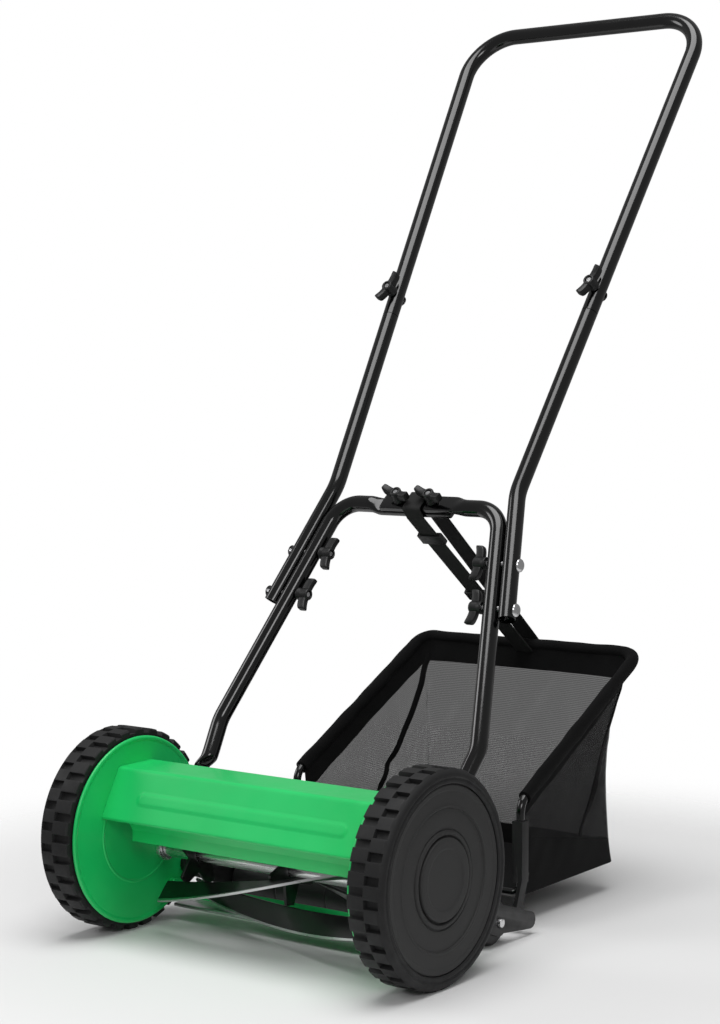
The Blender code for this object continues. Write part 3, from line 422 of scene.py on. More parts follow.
def fillet(
    profile: Sequence[tuple[float, float]], radius: float, steps: int = 4
) -> list[tuple[float, float]]:
    """A closed outline with its corners rounded, except those on the turning axis."""
    done = []
    count = len(profile)
    for i, point in enumerate(profile):
        here = Vector(point)
        back, ahead = Vector(profile[i - 1]) - here, Vector(profile[(i + 1) % count]) - here
        reach = min(radius, back.length * 0.45, ahead.length * 0.45)
        if point[0] <= 0 or reach < 1e-5:
            done.append(point)
            continue
        start, end = here + back.normalized() * reach, here + ahead.normalized() * reach
        for step in range(steps + 1):
            t = step / steps
            done.append(tuple(start * (1 - t) ** 2 + here * (2 * t * (1 - t)) + end * t ** 2))
    return done


def bent(
    corners: Sequence[Vector], radii: Sequence[float], step: float = 5.0, closed: bool = False
) -> list[Vector]:
    """The corners joined by straight runs, with arcs of the given radii at the bends.

    Args:
        corners: the corner points.
        radii: the bend radius at each corner.
        step: the largest angle between arc points, in degrees.
        closed: whether the last corner runs on to the first.

    Returns:
        The path's points.
    """
    points: list[Vector] = []
    count = len(corners)
    for i, here in enumerate(corners):
        if not closed and i in (0, count - 1):
            points.append(Vector(here))
            continue
        back = (corners[i - 1] - here).normalized()
        ahead = (corners[(i + 1) % count] - here).normalized()
        half = back.angle(ahead) / 2
        middle = here + (back + ahead).normalized() * (radii[i] / math.sin(half))
        reach = radii[i] / math.tan(half)
        start = here + back * reach - middle
        axis = start.cross(here + ahead * reach - middle).normalized()
        steps = max(2, math.ceil((math.pi - 2 * half) / math.radians(step)))
        for n in range(steps + 1):
            points.append(middle + Matrix.Rotation((math.pi - 2 * half) * n / steps, 3, axis) @ start)
    return points


def divided(points: Sequence[Vector], spacing: float) -> list[Vector]:
    """The path with extra points so that none are further apart than the spacing."""
    result = [points[0]]
    for a, b in zip(points, points[1:]):
        parts = max(1, math.ceil((b - a).length / spacing))
        result += [a.lerp(b, n / parts) for n in range(1, parts + 1)]
    return result


Section = Callable[[Vector, Vector, Vector], Vector]


def sweep(
    path: Sequence[Vector], radius: float, sides: int = 28, closed: bool = False, wall: float = 0.0,
    shape: Section | None = None,
) -> bpy.types.Mesh:
    """A tube along a path, capped, or open and hollow when it has a wall.

    Args:
        path: its centreline.
        radius: its outer radius.
        sides: points round it.
        closed: whether the path is a loop.
        wall: the wall of a hollow tube.
        shape: moves a ring point, from its centre, offset and tangent.

    Returns:
        A closed mesh.
    """
    count = len(path)
    tangents = []
    for i in range(count):
        before = path[i - 1] if closed or i else path[i]
        after = path[(i + 1) % count] if closed or i < count - 1 else path[i]
        tangents.append((after - before).normalized())
    normal = tangents[0].orthogonal().normalized()
    if abs(tangents[0].x) > 0.9:
        normal = Vector((0, 0, 1))
    verts, faces = [], []
    radii = (radius, radius - wall) if wall else (radius,)
    rings = []
    for i, centre in enumerate(path):
        normal = (normal - tangents[i] * normal.dot(tangents[i])).normalized()
        side = tangents[i].cross(normal)
        rings.append((centre, normal.copy(), side))
    for r in radii:
        for i, (centre, normal, side) in enumerate(rings):
            for n in range(sides):
                angle = TAU * n / sides
                offset = (normal * math.cos(angle) + side * math.sin(angle)) * r
                verts.append(shape(centre, offset, tangents[i]) if shape else centre + offset)
    layers = len(radii)
    for layer in range(layers):
        base = layer * count * sides
        for i in range(count if closed else count - 1):
            faces += between(base + i * sides, base + (i + 1) % count * sides, sides)
    if wall:
        for end in (0, count - 1):
            faces += between(end * sides, (count + end) * sides, sides)
    elif not closed:
        faces += [tuple(range(sides)), tuple(range((count - 1) * sides, count * sides))]
    return mesh_from(verts, faces, 1e-7)


def polar(radius: float, angle: float) -> tuple[float, float]:
    """The (x, y) of a point at a radius and angle."""
    return radius * math.cos(angle), radius * math.sin(angle)


def facing(at: Vector, direction: Vector) -> Matrix:
    """A frame at a point whose +Z runs along a direction."""
    return Matrix.Translation(at) @ direction.to_track_quat("Z", "Y").to_matrix().to_4x4()


def along_x(x: float, y: float, z: float, sign: int = 1) -> Matrix:
    """A frame at a point whose +Z runs along +X or -X."""
    return Matrix.Translation((x, y, z)) @ Matrix.Rotation(sign * math.pi / 2, 4, "Y")


def ringed(piece: bpy.types.Mesh, count: int, axis_point: Vector, finish: Finish) -> bpy.types.Mesh:
    """Copies a mesh round an X axis with a Geometry Nodes tree.

    Args:
        piece: the mesh to repeat, drawn in its first place.
        count: the number of copies.
        axis_point: a point on the axis.
        finish: the copies' finish.

    Returns:
        One mesh that holds every copy.
    """
    source = shown("repeat_source", piece)
    tree = bpy.data.node_groups.new("ring_of_copies", "GeometryNodeTree")
    face = tree.interface
    count_in = face.new_socket("Count", in_out="INPUT", socket_type="NodeSocketInt")
    source_in = face.new_socket("Piece", in_out="INPUT", socket_type="NodeSocketObject")
    centre_in = face.new_socket("Axis Point", in_out="INPUT", socket_type="NodeSocketVector")
    face.new_socket("Geometry", in_out="OUTPUT", socket_type="NodeSocketGeometry")
    entry = tree.nodes.new("NodeGroupInput").outputs

    def step(kind: str, inputs: dict[int | str, object], operation: str = "") -> bpy.types.NodeSocket:
        """Adds a node, fills its inputs from values or from outputs, and returns its first output."""
        node = tree.nodes.new(kind)
        if operation:
            node.operation = operation
        for key, value in inputs.items():
            if isinstance(value, bpy.types.NodeSocket):
                tree.links.new(value, node.inputs[key])
            else:
                node.inputs[key].default_value = value
        return node.outputs[0] if node.outputs else None

    line = step("GeometryNodeMeshLine", {"Offset": (0, 0, 0), "Count": entry["Count"]})
    info = tree.nodes.new("GeometryNodeObjectInfo")
    tree.links.new(entry["Piece"], info.inputs["Object"])
    away = step("ShaderNodeVectorMath", {0: entry["Axis Point"], "Scale": -1}, "SCALE")
    centred = step("GeometryNodeTransform", {"Geometry": info.outputs["Geometry"], "Translation": away})
    share = step("ShaderNodeMath", {0: step("GeometryNodeInputIndex", {}), 1: entry["Count"]}, "DIVIDE")
    turn = step("ShaderNodeCombineXYZ", {"X": step("ShaderNodeMath", {0: share, 1: TAU}, "MULTIPLY")})
    copies = step("GeometryNodeInstanceOnPoints", {"Points": line, "Instance": centred, "Rotation": turn})
    home = step("GeometryNodeTransform", {"Geometry": copies, "Translation": entry["Axis Point"]})
    real = step("GeometryNodeRealizeInstances", {"Geometry": home})
    painted = step("GeometryNodeSetMaterial", {"Geometry": real, "Material": finish.material()})
    step("NodeGroupOutput", {"Geometry": painted})
    helper = shown("ring", bpy.data.meshes.new("ring"))
    modifier = helper.modifiers.new("Copies", "NODES")
    modifier.node_group = tree
    modifier[count_in.identifier] = count
    modifier[source_in.identifier] = source
    modifier[centre_in.identifier] = tuple(axis_point)
    result = baked(helper)
    bpy.data.objects.remove(source)
    return result


def merged(*meshes: bpy.types.Mesh) -> bpy.types.Mesh:
    """Several meshes put in one, with nothing cut."""
    bm = bmesh.new()
    for mesh in meshes:
        bm.from_mesh(mesh)
    result = bpy.data.meshes.new("merged")
    bm.to_mesh(result)
    bm.free()
    return result


def refined(node: str, rounding: float, segments: int = 2, flat: float = 1.0) -> bpy.types.Mesh:
    """A copy of a frame node's mesh with flat faces whole and sharp edges rounded.

    Args:
        node: the frame node.
        rounding: the radius of its edges, in metres.
        segments: the steps across a rounded edge.
        flat: faces that turn by fewer degrees than this become one.

    Returns:
        The finer mesh.
    """
    bm = bmesh.new()
    bm.from_mesh(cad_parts[node].data)
    bmesh.ops.remove_doubles(bm, verts=bm.verts, dist=1e-5)
    bmesh.ops.dissolve_limit(bm, angle_limit=math.radians(flat), verts=bm.verts, edges=bm.edges)
    mesh = bpy.data.meshes.new(node)
    bm.to_mesh(mesh)
    bm.free()
    return softened(mesh, rounding, segments)


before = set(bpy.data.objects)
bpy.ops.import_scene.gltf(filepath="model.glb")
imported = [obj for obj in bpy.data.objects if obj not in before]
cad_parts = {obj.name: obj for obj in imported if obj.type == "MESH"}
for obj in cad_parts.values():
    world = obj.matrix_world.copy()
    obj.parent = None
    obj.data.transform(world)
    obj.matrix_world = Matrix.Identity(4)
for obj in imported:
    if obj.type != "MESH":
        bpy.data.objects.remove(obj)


def centre_of(node: str) -> Vector:
    """The middle of a frame node's box."""
    low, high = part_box(node)
    return (Vector(low) + Vector(high)) / 2


AXLE = Vector((0, centre_of("axle_stub_right").y, centre_of("axle_stub_right").z))


def spot(x: float, y: float, z: float) -> Vector:
    """A point at x across, y behind the wheel axle and z above the floor."""
    return Vector((x, y + AXLE.y, z))


class Assembly(ABC):
    """A group of pieces that is built and placed together."""

    @abstractmethod
    def build(self) -> list[bpy.types.Object]:
        """Builds and places every piece, and returns them."""


# ---- Wheels --------------------------------------------------------------------------------------


@dataclass
class Wheel(Assembly):
    """A drive wheel: lugged tyre, ringed face, raised cap and the internal gear behind them."""

    side: Side
    radius: float = 0.0928
    inner: float = 0.1557
    outer: float = 0.1905
    bore: float = 0.0800
    rim: float = 0.0797
    tread_depth: float = 0.0042
    lugs: int = 30
    slot_share: float = 0.4
    wall_draft: float = 0.0025
    gear_teeth: int = 48
    gear_root: float = 0.0584
    gear_tip: float = 0.0545
    gear_inner: float = 0.158
    gear_width: float = 0.012
    gear_wall: float = 0.006
    tooth_half: tuple[float, float] = (0.030, 0.017)    # half a tooth's angle at its root and at its tip
    cap_radius: float = 0.0353

    @property
    def body(self) -> str:
        """The frame body that the wheel turns with."""
        return f"{self.side.label}_wheel"

    def point(self, radius: float, angle: float, x: float) -> Vector:
        """A point at a radius and angle round the axle, and x out from the middle."""
        return AXLE + Vector((self.side.sign * x, *polar(radius, angle)))

    def tread_cell(self) -> bpy.types.Mesh:
        """One pitch of the tread, with half a stagger between its inner and outer slots."""
        pitch = TAU / self.lugs
        half = pitch * self.slot_share / 2
        middle = (self.inner + self.outer) / 2
        floor = self.radius - self.tread_depth
        top, shoulder = self.radius, self.outer - 0.0042
        across = [
            (self.bore, self.inner), (floor - 0.002, self.inner), (top - 0.0016, self.inner),
            (top, self.inner + 0.0016), (top, middle - 0.0010), (top, middle - 0.0003),
            (top, middle + 0.0003), (top, middle + 0.0010), (top, shoulder),
            (top - 0.0008, shoulder + 0.0009), (top - 0.0016, shoulder + 0.0018),
            (top - 0.0034, self.outer - 0.0006), (top - 0.0050, self.outer), (0.0858, self.outer),
            (0.0850, self.outer - 0.0007), (0.0838, self.outer - 0.0007), (0.0830, self.outer - 0.0001),
            (0.0812, self.outer - 0.0001), (self.bore, self.outer - 0.0010),
        ]
        draft = self.wall_draft
        stations = [0.0]
        for centre in (0.25, 0.75):
            at = centre * pitch
            stations += [
                at - half, at - half + draft, at - half / 3, at + half / 3, at + half - draft, at + half
            ]
        stations += [pitch]
        columns = {0: (7, 8), 1: (2, 3, 4)}
        verts, faces = [], []
        for row, angle in enumerate(stations):
            slot = 0 if 2 <= row <= 5 else 1 if 8 <= row <= 11 else None
            for column, (radius, x) in enumerate(across):
                if slot is not None and row in sunk_rows(slot) and column in columns[slot]:
                    radius = min(radius, floor)
                verts.append(self.point(radius, angle, x))
        width = len(across)
        for row in range(len(stations) - 1):
            faces += between(row * width, (row + 1) * width, width)
        return raw("tread_cell", verts, faces)

    def tyre(self) -> bpy.types.Mesh:
        """The whole tyre, from copies of one pitch joined edge to edge."""
        ring = ringed(self.tread_cell(), self.lugs, AXLE, TREAD_RUBBER)
        return softened(cleaned(ring, 2e-5), 0.0005, 2, 28.0)

    def face(self) -> bpy.types.Mesh:
        """The moulded wheel: face with its rings, drum, and hub sleeve."""
        front, web = self.outer - 0.0015, self.outer - 0.0105
        outline = [
            (self.rim, self.gear_inner), (self.rim, front - 0.0012), (self.rim - 0.0006, front - 0.0002),
            (self.rim - 0.0016, front + 0.0003), (self.rim - 0.0030, front), (0.0748, front - 0.0002),
            (0.0738, front - 0.0006), (0.0625, front - 0.0006), (0.0618, front + 0.0001),
            (0.0606, front + 0.0001), (0.0598, front - 0.0016), (0.0588, front - 0.0013),
            (0.0428, front - 0.0013), (0.0423, front - 0.0024), (0.0415, front - 0.0024),
            (0.0410, front - 0.0008), (0.0400, front - 0.0001), (0.0382, front), (0.0374, front - 0.0004),
            (0.0366, front - 0.0026), (0.0352, front - 0.0030), (0.0128, front - 0.0040),
            (0.0128, self.inner + 0.0008), (0.0064, self.inner + 0.0008), (0.0064, front - 0.0055),
            (0.0098, web), (self.gear_root + self.gear_wall, web), (self.rim - 0.0030, web),
            (self.rim - 0.0030, self.gear_inner),
        ]
        return lathe(fillet(outline, 0.0005), along_x(0, AXLE.y, AXLE.z, self.side.sign), 144)

    def gear(self) -> bpy.types.Mesh:
        """The internal gear ring, its spaces lined up with the reel's pinion."""
        low, high = self.gear_inner, self.gear_inner + 2 * self.gear_width
        back = self.gear_root + self.gear_wall
        ring = [(back, low), (back, high), (self.gear_root, high), (self.gear_root, low)]
        frame = along_x(0, AXLE.y, AXLE.z, self.side.sign)
        reel = centre_of("reel_shaft") - AXLE
        phase = math.atan2(reel.z, reel.y) + math.pi / self.gear_teeth
        points = []
        for x in (low, high):
            for radius, half in zip((self.gear_root + 0.001, self.gear_tip), self.tooth_half):
                points += [self.point(radius, phase + half, x), self.point(radius, phase - half, x)]
        faces = [(0, 1, 3, 2), (4, 6, 7, 5), (0, 4, 5, 1), (2, 3, 7, 6), (0, 2, 6, 4), (1, 5, 7, 3)]
        tooth = softened(mesh_from(points, faces), 0.0003, 1)
        return merged(
            lathe(fillet(ring, 0.0005), frame, 96), ringed(tooth, self.gear_teeth, AXLE, WHEEL_PLASTIC)
        )

    def cap(self) -> bpy.types.Mesh:
        """The raised hub cap with its dished middle."""
        low, high, rim = self.outer - 0.0045, self.outer - 0.0002, self.cap_radius
        outline = [
            (0, low), (rim, low), (rim, high - 0.0016), (rim - 0.0004, high - 0.0006),
            (rim - 0.0014, high - 0.0001), (rim - 0.0030, high), (0.0275, high), (0.0262, high - 0.0003),
            (0.0252, high - 0.0009), (0.0150, high - 0.0011), (0, high - 0.0012),
        ]
        return lathe(fillet(outline, 0.0004), along_x(0, AXLE.y, AXLE.z, self.side.sign), 128)

    def build(self) -> list[bpy.types.Object]:
        """Builds the tyre, the wheel with its gear, and the cap."""
        name = self.side.label
        return [
            place(f"tread_{name}", self.tyre(), [TREAD_RUBBER], self.body, [f"tyre_{name}"]),
            place(
                f"wheel_face_{name}", merged(self.face(), self.gear()), [WHEEL_PLASTIC], self.body,
                [f"wheel_{name}"],
            ),
            place(f"wheel_cap_{name}", self.cap(), [WHEEL_PLASTIC], self.body, [f"hub_cap_{name}"]),
        ]


def sunk_rows(slot: int) -> range:
    """The tread stations that lie on the floor of a slot."""
    return range(2, 6) if slot == 0 else range(8, 12)


# ---- Frame ---------------------------------------------------------------------------------------


@dataclass
class Chassis(Assembly):
    """The green pressed steel: two round side plates, the folded cover, the tie strip and the cutter bar."""

    plate_in: float = 0.1525
    plate_out: float = 0.1543
    plate_radius: float = 0.0862
    plate_lip: float = 0.001
    sheet: float = 0.0012
    cover_front: tuple[float, float] = (-0.0501, 0.1107)
    cover_bend: tuple[float, float] = (-0.0268, 0.1545)
    cover_rear: tuple[float, float] = (0.0183, 0.1549)
    cover_radius: float = 0.0045
    front_height: float = 0.0496    # up the sloping front, from its edge to the bend
    panel_half: float = 0.118
    panel_shares: tuple[float, float] = (0.33, 0.59)
    panel_height: float = 0.0009
    panel_edge: float = 0.0024
    studs: tuple[tuple[float, float, float, float], ...] = (    # (y, z, radius, length)
        (0.072, 0.124, 0.003, 0.008), (0.066, 0.050, 0.003, 0.0075), (0.045, 0.031, 0.008, 0.005),
    )
    cell: float = 0.0016

    def plate(self, side: Side) -> bpy.types.Mesh:
        """A side plate with a rolled rim, a pressed ring and the studs for the handle and the bracket."""
        inner, outer, edge = self.plate_in, self.plate_out, self.plate_radius
        outline = [
            (0, outer), (edge - 0.0004, outer), (edge, outer - 0.0006), (edge, inner + 0.0002),
            (edge - 0.0008, inner - self.plate_lip * 0.7), (edge - 0.0022, inner - self.plate_lip),
            (edge - 0.0038, inner - self.plate_lip * 0.6), (edge - 0.0050, inner), (0.0490, inner),
            (0.0482, inner - 0.0006), (0.0470, inner - 0.0006), (0.0462, inner), (0, inner),
        ]
        frame = along_x(0, AXLE.y, AXLE.z, side.sign)
        studs = []
        for y, z, radius, length in self.studs:
            length += 0.001
            stud = [(0, 0), (radius, 0), (radius, length), (0, length)]
            at = spot(side.sign * (inner + 0.001), y, z)
            studs.append(lathe(fillet(stud, 0.0005), along_x(*at, -side.sign), 32))
        return merged(lathe(fillet(outline, 0.0005), frame, 160), *studs)

    def cover(self) -> bpy.types.Mesh:
        """The folded top cover, with a long rounded panel pressed out of its sloping front."""
        front, bend, rear = self.cover_front, self.cover_bend, self.cover_rear
        corners = [
            Vector((0, front[0] + 0.007, front[1] - 0.0005)), Vector((0, *front)), Vector((0, *bend)),
            Vector((0, *rear)), Vector((0, rear[0], rear[1] - 0.008)),
        ]
        path = bent(corners, [0, 0.0015, self.cover_radius, 0.002, 0], 12.0)
        path = divided(path, self.cell)
        half = self.plate_in - 0.0003
        columns = math.ceil(2 * half / self.cell)
        start, slope = Vector(front), Vector(bend) - Vector(front)
        out = Vector((-slope.y, slope.x)).normalized()
        verts, faces = [], []
        for point in path:
            share = (point.yz - start).dot(slope) / slope.length_squared
            for column in range(columns + 1):
                x = half * (2 * column / columns - 1)
                lift = self.pressing(x, share) if point.y < bend[0] - 0.003 else 0.0
                verts.append(spot(x, point.y + out.x * lift, point.z + out.y * lift))
        for row in range(len(path) - 1):
            for column in range(columns):
                a = row * (columns + 1) + column
                faces.append((a, a + 1, a + columns + 2, a + columns + 1))
        return applied(raw("cover", verts, faces), ("SOLIDIFY", {"thickness": self.sheet, "offset": 0.0}))

    def pressing(self, x: float, share: float) -> float:
        """How far the front panel stands out at x across and a share of the way up."""
        low, high = self.panel_shares
        span = (high - low) / 2
        up = (share - low - span) * self.front_height
        radius = span * self.front_height
        across = max(0.0, abs(x) - (self.panel_half - radius))
        inside = radius - math.hypot(across, up)
        return self.panel_height * ease(inside / self.panel_edge)

    def build(self) -> list[bpy.types.Object]:
        """Builds the pressed pieces and the bearings in them."""
        pieces = [place("top_cover", self.cover(), [GREEN], "frame", ["deck_cover"])]
        for side in Side:
            name = side.label
            pieces.append(place(f"plate_{name}", self.plate(side), [GREEN], "frame", [f"side_plate_{name}"]))
            for node, finish, rounding in (
                ("reel_bearing", ZINC, 0.0005), ("axle_stub", ZINC, 0.0005),
                ("roller_bracket", BLACK_PLASTIC, 0.0008),
            ):
                mesh = refined(f"{node}_{name}", rounding)
                pieces.append(place(f"{node}_{name}_fine", mesh, [finish], "frame", [f"{node}_{name}"]))
        for node, finish in (
            ("front_tie_strip", GREEN), ("cutter_bar", GREEN), ("bed_knife", GROUND_STEEL),
            ("roller_axle", ZINC),
        ):
            pieces.append(place(f"{node}_fine", refined(node, 0.0004), [finish], "frame", [node]))
        return pieces


# ---- Reel and roller -----------------------------------------------------------------------------


@dataclass
class Reel(Assembly):
    """The cutting reel: shaft, spiders and twisted blades with ground edges."""

    radius: float = 0.0555
    length: float = 0.256
    blades: int = 5
    twist: float = math.radians(-76.6)
    start: float = math.radians(29.3)
    depth: float = 0.022
    thickness: float = 0.0026
    ground: float = 0.0022
    steps: int = 72
    shaft_radius: float = 0.008

    def blade(self, number: int) -> bpy.types.Mesh:
        """One twisted blade, its outer edge marked for the ground finish."""
        centre = centre_of("reel_shaft")
        phase = self.start + TAU * number / self.blades
        inner = self.radius - self.depth
        half = self.thickness / 2
        rim, shoulder = self.radius - 0.0001, self.radius - self.ground
        rise = [(inner, half * 0.6), (inner + 0.0006, half), (shoulder, half), (rim, half * 0.9)]
        outline = [(r, -t) for r, t in rise] + rise[::-1]
        count = len(outline)
        frame = along_x(*centre)
        verts, faces = [], []
        for step in range(self.steps + 1):
            share = step / self.steps
            turn = Matrix.Rotation(phase + self.twist * share, 4, "Z")
            lift = Matrix.Translation((0, 0, self.length * (share - 0.5)))
            verts += [frame @ lift @ turn @ Vector((r, t, 0)) for r, t in outline]
        for step in range(self.steps):
            faces += between(step * count, (step + 1) * count, count)
        faces += [tuple(range(count)), tuple(range(self.steps * count, (self.steps + 1) * count))]
        mesh = mesh_from(verts, faces, 1e-7)
        edge = self.radius - self.ground - 0.0001
        for face in mesh.polygons:
            away = [math.hypot(*(mesh.vertices[v].co - centre).yz) for v in face.vertices]
            face.material_index = int(min(away) > edge)
        return mesh

    def build(self) -> list[bpy.types.Object]:
        """Builds the turning parts of the reel."""
        pieces = []
        for number in range(self.blades):
            mesh = self.blade(number)
            marks = [face.material_index for face in mesh.polygons]
            piece = place(
                f"blade_{number + 1}", mesh, [BLADE_ENAMEL, GROUND_STEEL], "reel",
                [f"reel_blade_{number + 1}"],
            )
            piece.data.polygons.foreach_set("material_index", marks)
            pieces.append(piece)
        low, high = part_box("reel_shaft")
        outline = [(0, low[0]), (self.shaft_radius, low[0]), (self.shaft_radius, high[0]), (0, high[0])]
        centre = centre_of("reel_shaft")
        shaft = lathe(fillet(outline, 0.0008), along_x(0, centre.y, centre.z), 48)
        pieces.append(place("shaft", shaft, [ZINC], "reel", ["reel_shaft"]))
        for name in ("left", "centre", "right"):
            mesh = refined(f"reel_spider_{name}", 0.0006)
            pieces.append(place(f"spider_{name}", mesh, [BLADE_ENAMEL], "reel", [f"reel_spider_{name}"]))
        for side in Side:
            node = f"pinion_{side.label}"
            pieces.append(
                place(f"{node}_fine", refined(node, 0.0003), [ZINC], f"{side.label}_pinion", [node])
            )
        pieces.append(self.roller())
        return pieces

    def roller(self) -> bpy.types.Object:
        """The ribbed plastic roller at the back."""
        low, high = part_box("rear_roller")
        radius = (high[2] - low[2]) / 2
        end, bore = high[0], 0.0043
        groove = ((0, -0.0014), (0.0010, -0.0006), (0.0010, 0.0006), (0, 0.0014))
        outline = [(bore, -end), (radius - 0.0022, -end), (radius, -end + 0.0022)]
        for x in (-0.09, -0.03, 0.03, 0.09):
            outline += [(radius - deep, x + along) for deep, along in groove]
        outline += [(radius, end - 0.0022), (radius - 0.0022, end), (bore, end)]
        centre = centre_of("rear_roller")
        mesh = lathe(fillet(outline, 0.0006), along_x(0, centre.y, centre.z), 96)
        return place("roller", mesh, [BLACK_PLASTIC], "roller", ["rear_roller"])


# ---- Handle --------------------------------------------------------------------------------------


@dataclass
class Handle(Assembly):
    """The push handle: upper loop, two bent mid tubes and two lower legs that meet in the crossbar."""

    tube: float = 0.008
    wall: float = 0.0012
    plate_in: float = 0.1525
    pivot: tuple[float, float] = (0.072, 0.124)
    leg_bend: tuple[float, float, float] = (0.1482, 0.111, 0.181)
    slope: tuple[float, float, float] = (-0.0299, 0.0645, 0.1106)
    crossbar_z: float = 0.3851
    mid_end_z: float = 0.290
    mid_bend_z: float = 0.4006
    joint_z: float = 0.5704
    top: tuple[float, float, float] = (0.1403, 0.5397, 0.8747)
    side_gap: float = 0.0006
    top_bend: float = 0.047
    corner_bend: float = 0.030
    leg_bend_radius: float = 0.040
    mid_bend_radius: float = 0.060
    flat_half: float = 0.040
    flat_thick: float = 0.006
    flat_high: float = 0.019
    flat_tilt: float = math.radians(48)
    tab_thick: float = 0.005
    tab_half: float = 0.008
    tab_gap: float = 0.0013
    tab_tail: float = 0.009
    tab_end: tuple[float, float] = (0.030, 0.012)     # where the tab has turned round, and over what length
    flat_end: tuple[float, float] = (0.056, 0.014)    # the same for the crossbar's flat
    flat_gap: float = 0.00015
    shoulder: float = 0.0006
    collar: float = 0.010
    plug: tuple[float, float] = (0.005, 0.045)        # how far it reaches back and on from the joint
    slip: float = 0.0003
    arc_step: float = 3.0

    @property
    def cross_front(self) -> Vector:
        """The direction that the crossbar's flat faces look."""
        return Vector((0, -math.cos(self.flat_tilt), math.sin(self.flat_tilt)))

    @property
    def cross_up(self) -> Vector:
        """The direction up the crossbar's flat faces."""
        return Vector((0, math.sin(self.flat_tilt), math.cos(self.flat_tilt)))

    @property
    def line(self) -> Vector:
        """The direction of the right leg."""
        return Vector(self.slope).normalized()

    @property
    def offset(self) -> float:
        """How far the mid tube stands outside the leg."""
        return (2 * self.tube + self.side_gap) / math.sqrt(1 - self.line.x ** 2)

    def leg_point(self, z: float, offset: float = 0.0) -> Vector:
        """The point at a height on the right leg, or on one moved out by an offset."""
        bend = Vector(self.leg_bend)
        return bend + self.line * ((z - bend.z) / self.line.z) + Vector((offset, 0, 0))

    def upper_axis(self) -> tuple[Vector, Vector]:
        """The point where the right mid tube enters the upper one, and the upper tube's direction."""
        start = self.leg_point(self.mid_bend_z, self.offset)
        line = (Vector(self.top) - start).normalized()
        return start + line * ((self.joint_z - start.z) / line.z), line

    def upper(self) -> bpy.types.Mesh:
        """The top loop."""
        joint, _ = self.upper_axis()
        top = Vector(self.top)
        corners = [spot(-joint.x, *joint.yz), spot(-top.x, *top.yz), spot(*top), spot(*joint)]
        return sweep(
            bent(corners, [0, self.top_bend, self.top_bend, 0], self.arc_step), self.tube, 40, wall=self.wall
        )

    def mid(self, sign: int) -> bpy.types.Mesh:
        """A bent mid tube with the shoulder and the narrow end that slips into the top loop."""
        joint, line = self.upper_axis()
        shoulder = joint - line * self.shoulder
        low, bend = self.leg_point(self.mid_end_z, self.offset), self.leg_point(self.mid_bend_z, self.offset)

        def mirrored(*points: Vector) -> list[Vector]:
            return [spot(sign * p.x, p.y, p.z) for p in points]

        path = bent(mirrored(low, bend, shoulder), [0, self.mid_bend_radius, 0], self.arc_step)
        body = sweep(path, self.tube, 40, wall=self.wall)
        ends = mirrored(shoulder - line * self.collar, shoulder - line * self.slip)
        collar = sweep(ends, self.tube - self.wall / 2, 32)
        back, on = self.plug
        ends = mirrored(shoulder - line * back, joint + line * on)
        return merged(body, collar, sweep(ends, self.tube - self.wall - self.slip, 32))

    def lower(self, sign: int) -> bpy.types.Mesh:
        """A lower leg, pressed flat at the pivot and at the crossbar."""
        foot_x = self.plate_in - self.tab_gap - self.tab_thick / 2
        pivot = Vector((foot_x, *self.pivot))
        bend = Vector(self.leg_bend)
        up = (bend - pivot).normalized()
        start = pivot - up * self.tab_tail
        tube_x = self.plate_in - self.tab_gap - self.tube
        round_start = Vector((tube_x, *(pivot + up * self.tab_end[0]).yz))
        corner = self.leg_point(self.crossbar_z)
        end = Vector((-self.flat_half, corner.y, corner.z))
        corners = [Vector((tube_x, *start.yz)), round_start, bend, corner, end]
        radii = [0, 0.15, self.leg_bend_radius, self.corner_bend, 0]
        path = divided(bent(corners, radii, self.arc_step), 0.0025)
        path = [Vector((sign * p.x, p.y, p.z)) for p in path]
        front, tall = self.cross_front, self.cross_up
        ahead = front * (sign * (self.flat_thick / 2 + self.flat_gap))

        def section(centre: Vector, offset: Vector, tangent: Vector) -> Vector:
            """Squeezes the ring near the crossbar's middle and near the pivot."""
            beyond = sign * centre.x
            press = ease((self.flat_end[0] - beyond) / self.flat_end[1]) if centre.z > bend.z else 0.0
            low = (centre - Vector((sign * tube_x, *pivot.yz))).dot(Vector((0, up.y, up.z)))
            squeeze = ease((self.tab_end[0] - low) / self.tab_end[1]) if centre.z < bend.z else 0.0
            if press:
                flat = Vector((offset.x, 0, 0))
                flat -= front * (squared(-offset.dot(front) / self.tube) * self.flat_thick / 2)
                flat += tall * (rounded(offset.dot(tall) / self.tube) * self.flat_high / 2)
                return spot(*(centre + ahead * press + offset.lerp(flat, press)))
            if squeeze:
                across = Vector((0, -up.z, up.y))
                wide = rounded(offset.dot(across) / self.tube) * self.tab_half
                tab = Vector((squared(offset.x / self.tube) * self.tab_thick / 2, 0, 0)) + across * wide
                home = Vector((centre.x + (sign * foot_x - centre.x) * squeeze, centre.y, centre.z))
                return spot(*(home + offset.lerp(tab, squeeze)))
            return spot(*(centre + offset))

        return softened(sweep(path, self.tube, 40, shape=section), 0.0008, 2, 50.0)

    def build(self) -> list[bpy.types.Object]:
        """Builds the five tubes."""
        pieces = [place("upper_loop", self.upper(), [TUBE_ENAMEL], "handle", ["handle_upper"])]
        for side in Side:
            name = side.label
            mid, low = self.mid(side.sign), self.lower(side.sign)
            pieces += [
                place(f"mid_tube_{name}", mid, [TUBE_ENAMEL], "handle", [f"handle_mid_{name}"]),
                place(f"lower_leg_{name}", low, [TUBE_ENAMEL], "handle", [f"handle_lower_{name}"]),
            ]
        return pieces


def ease(share: float) -> float:
    """A smooth step from 0 to 1."""
    share = min(1.0, max(0.0, share))
    return share * share * (3 - 2 * share)


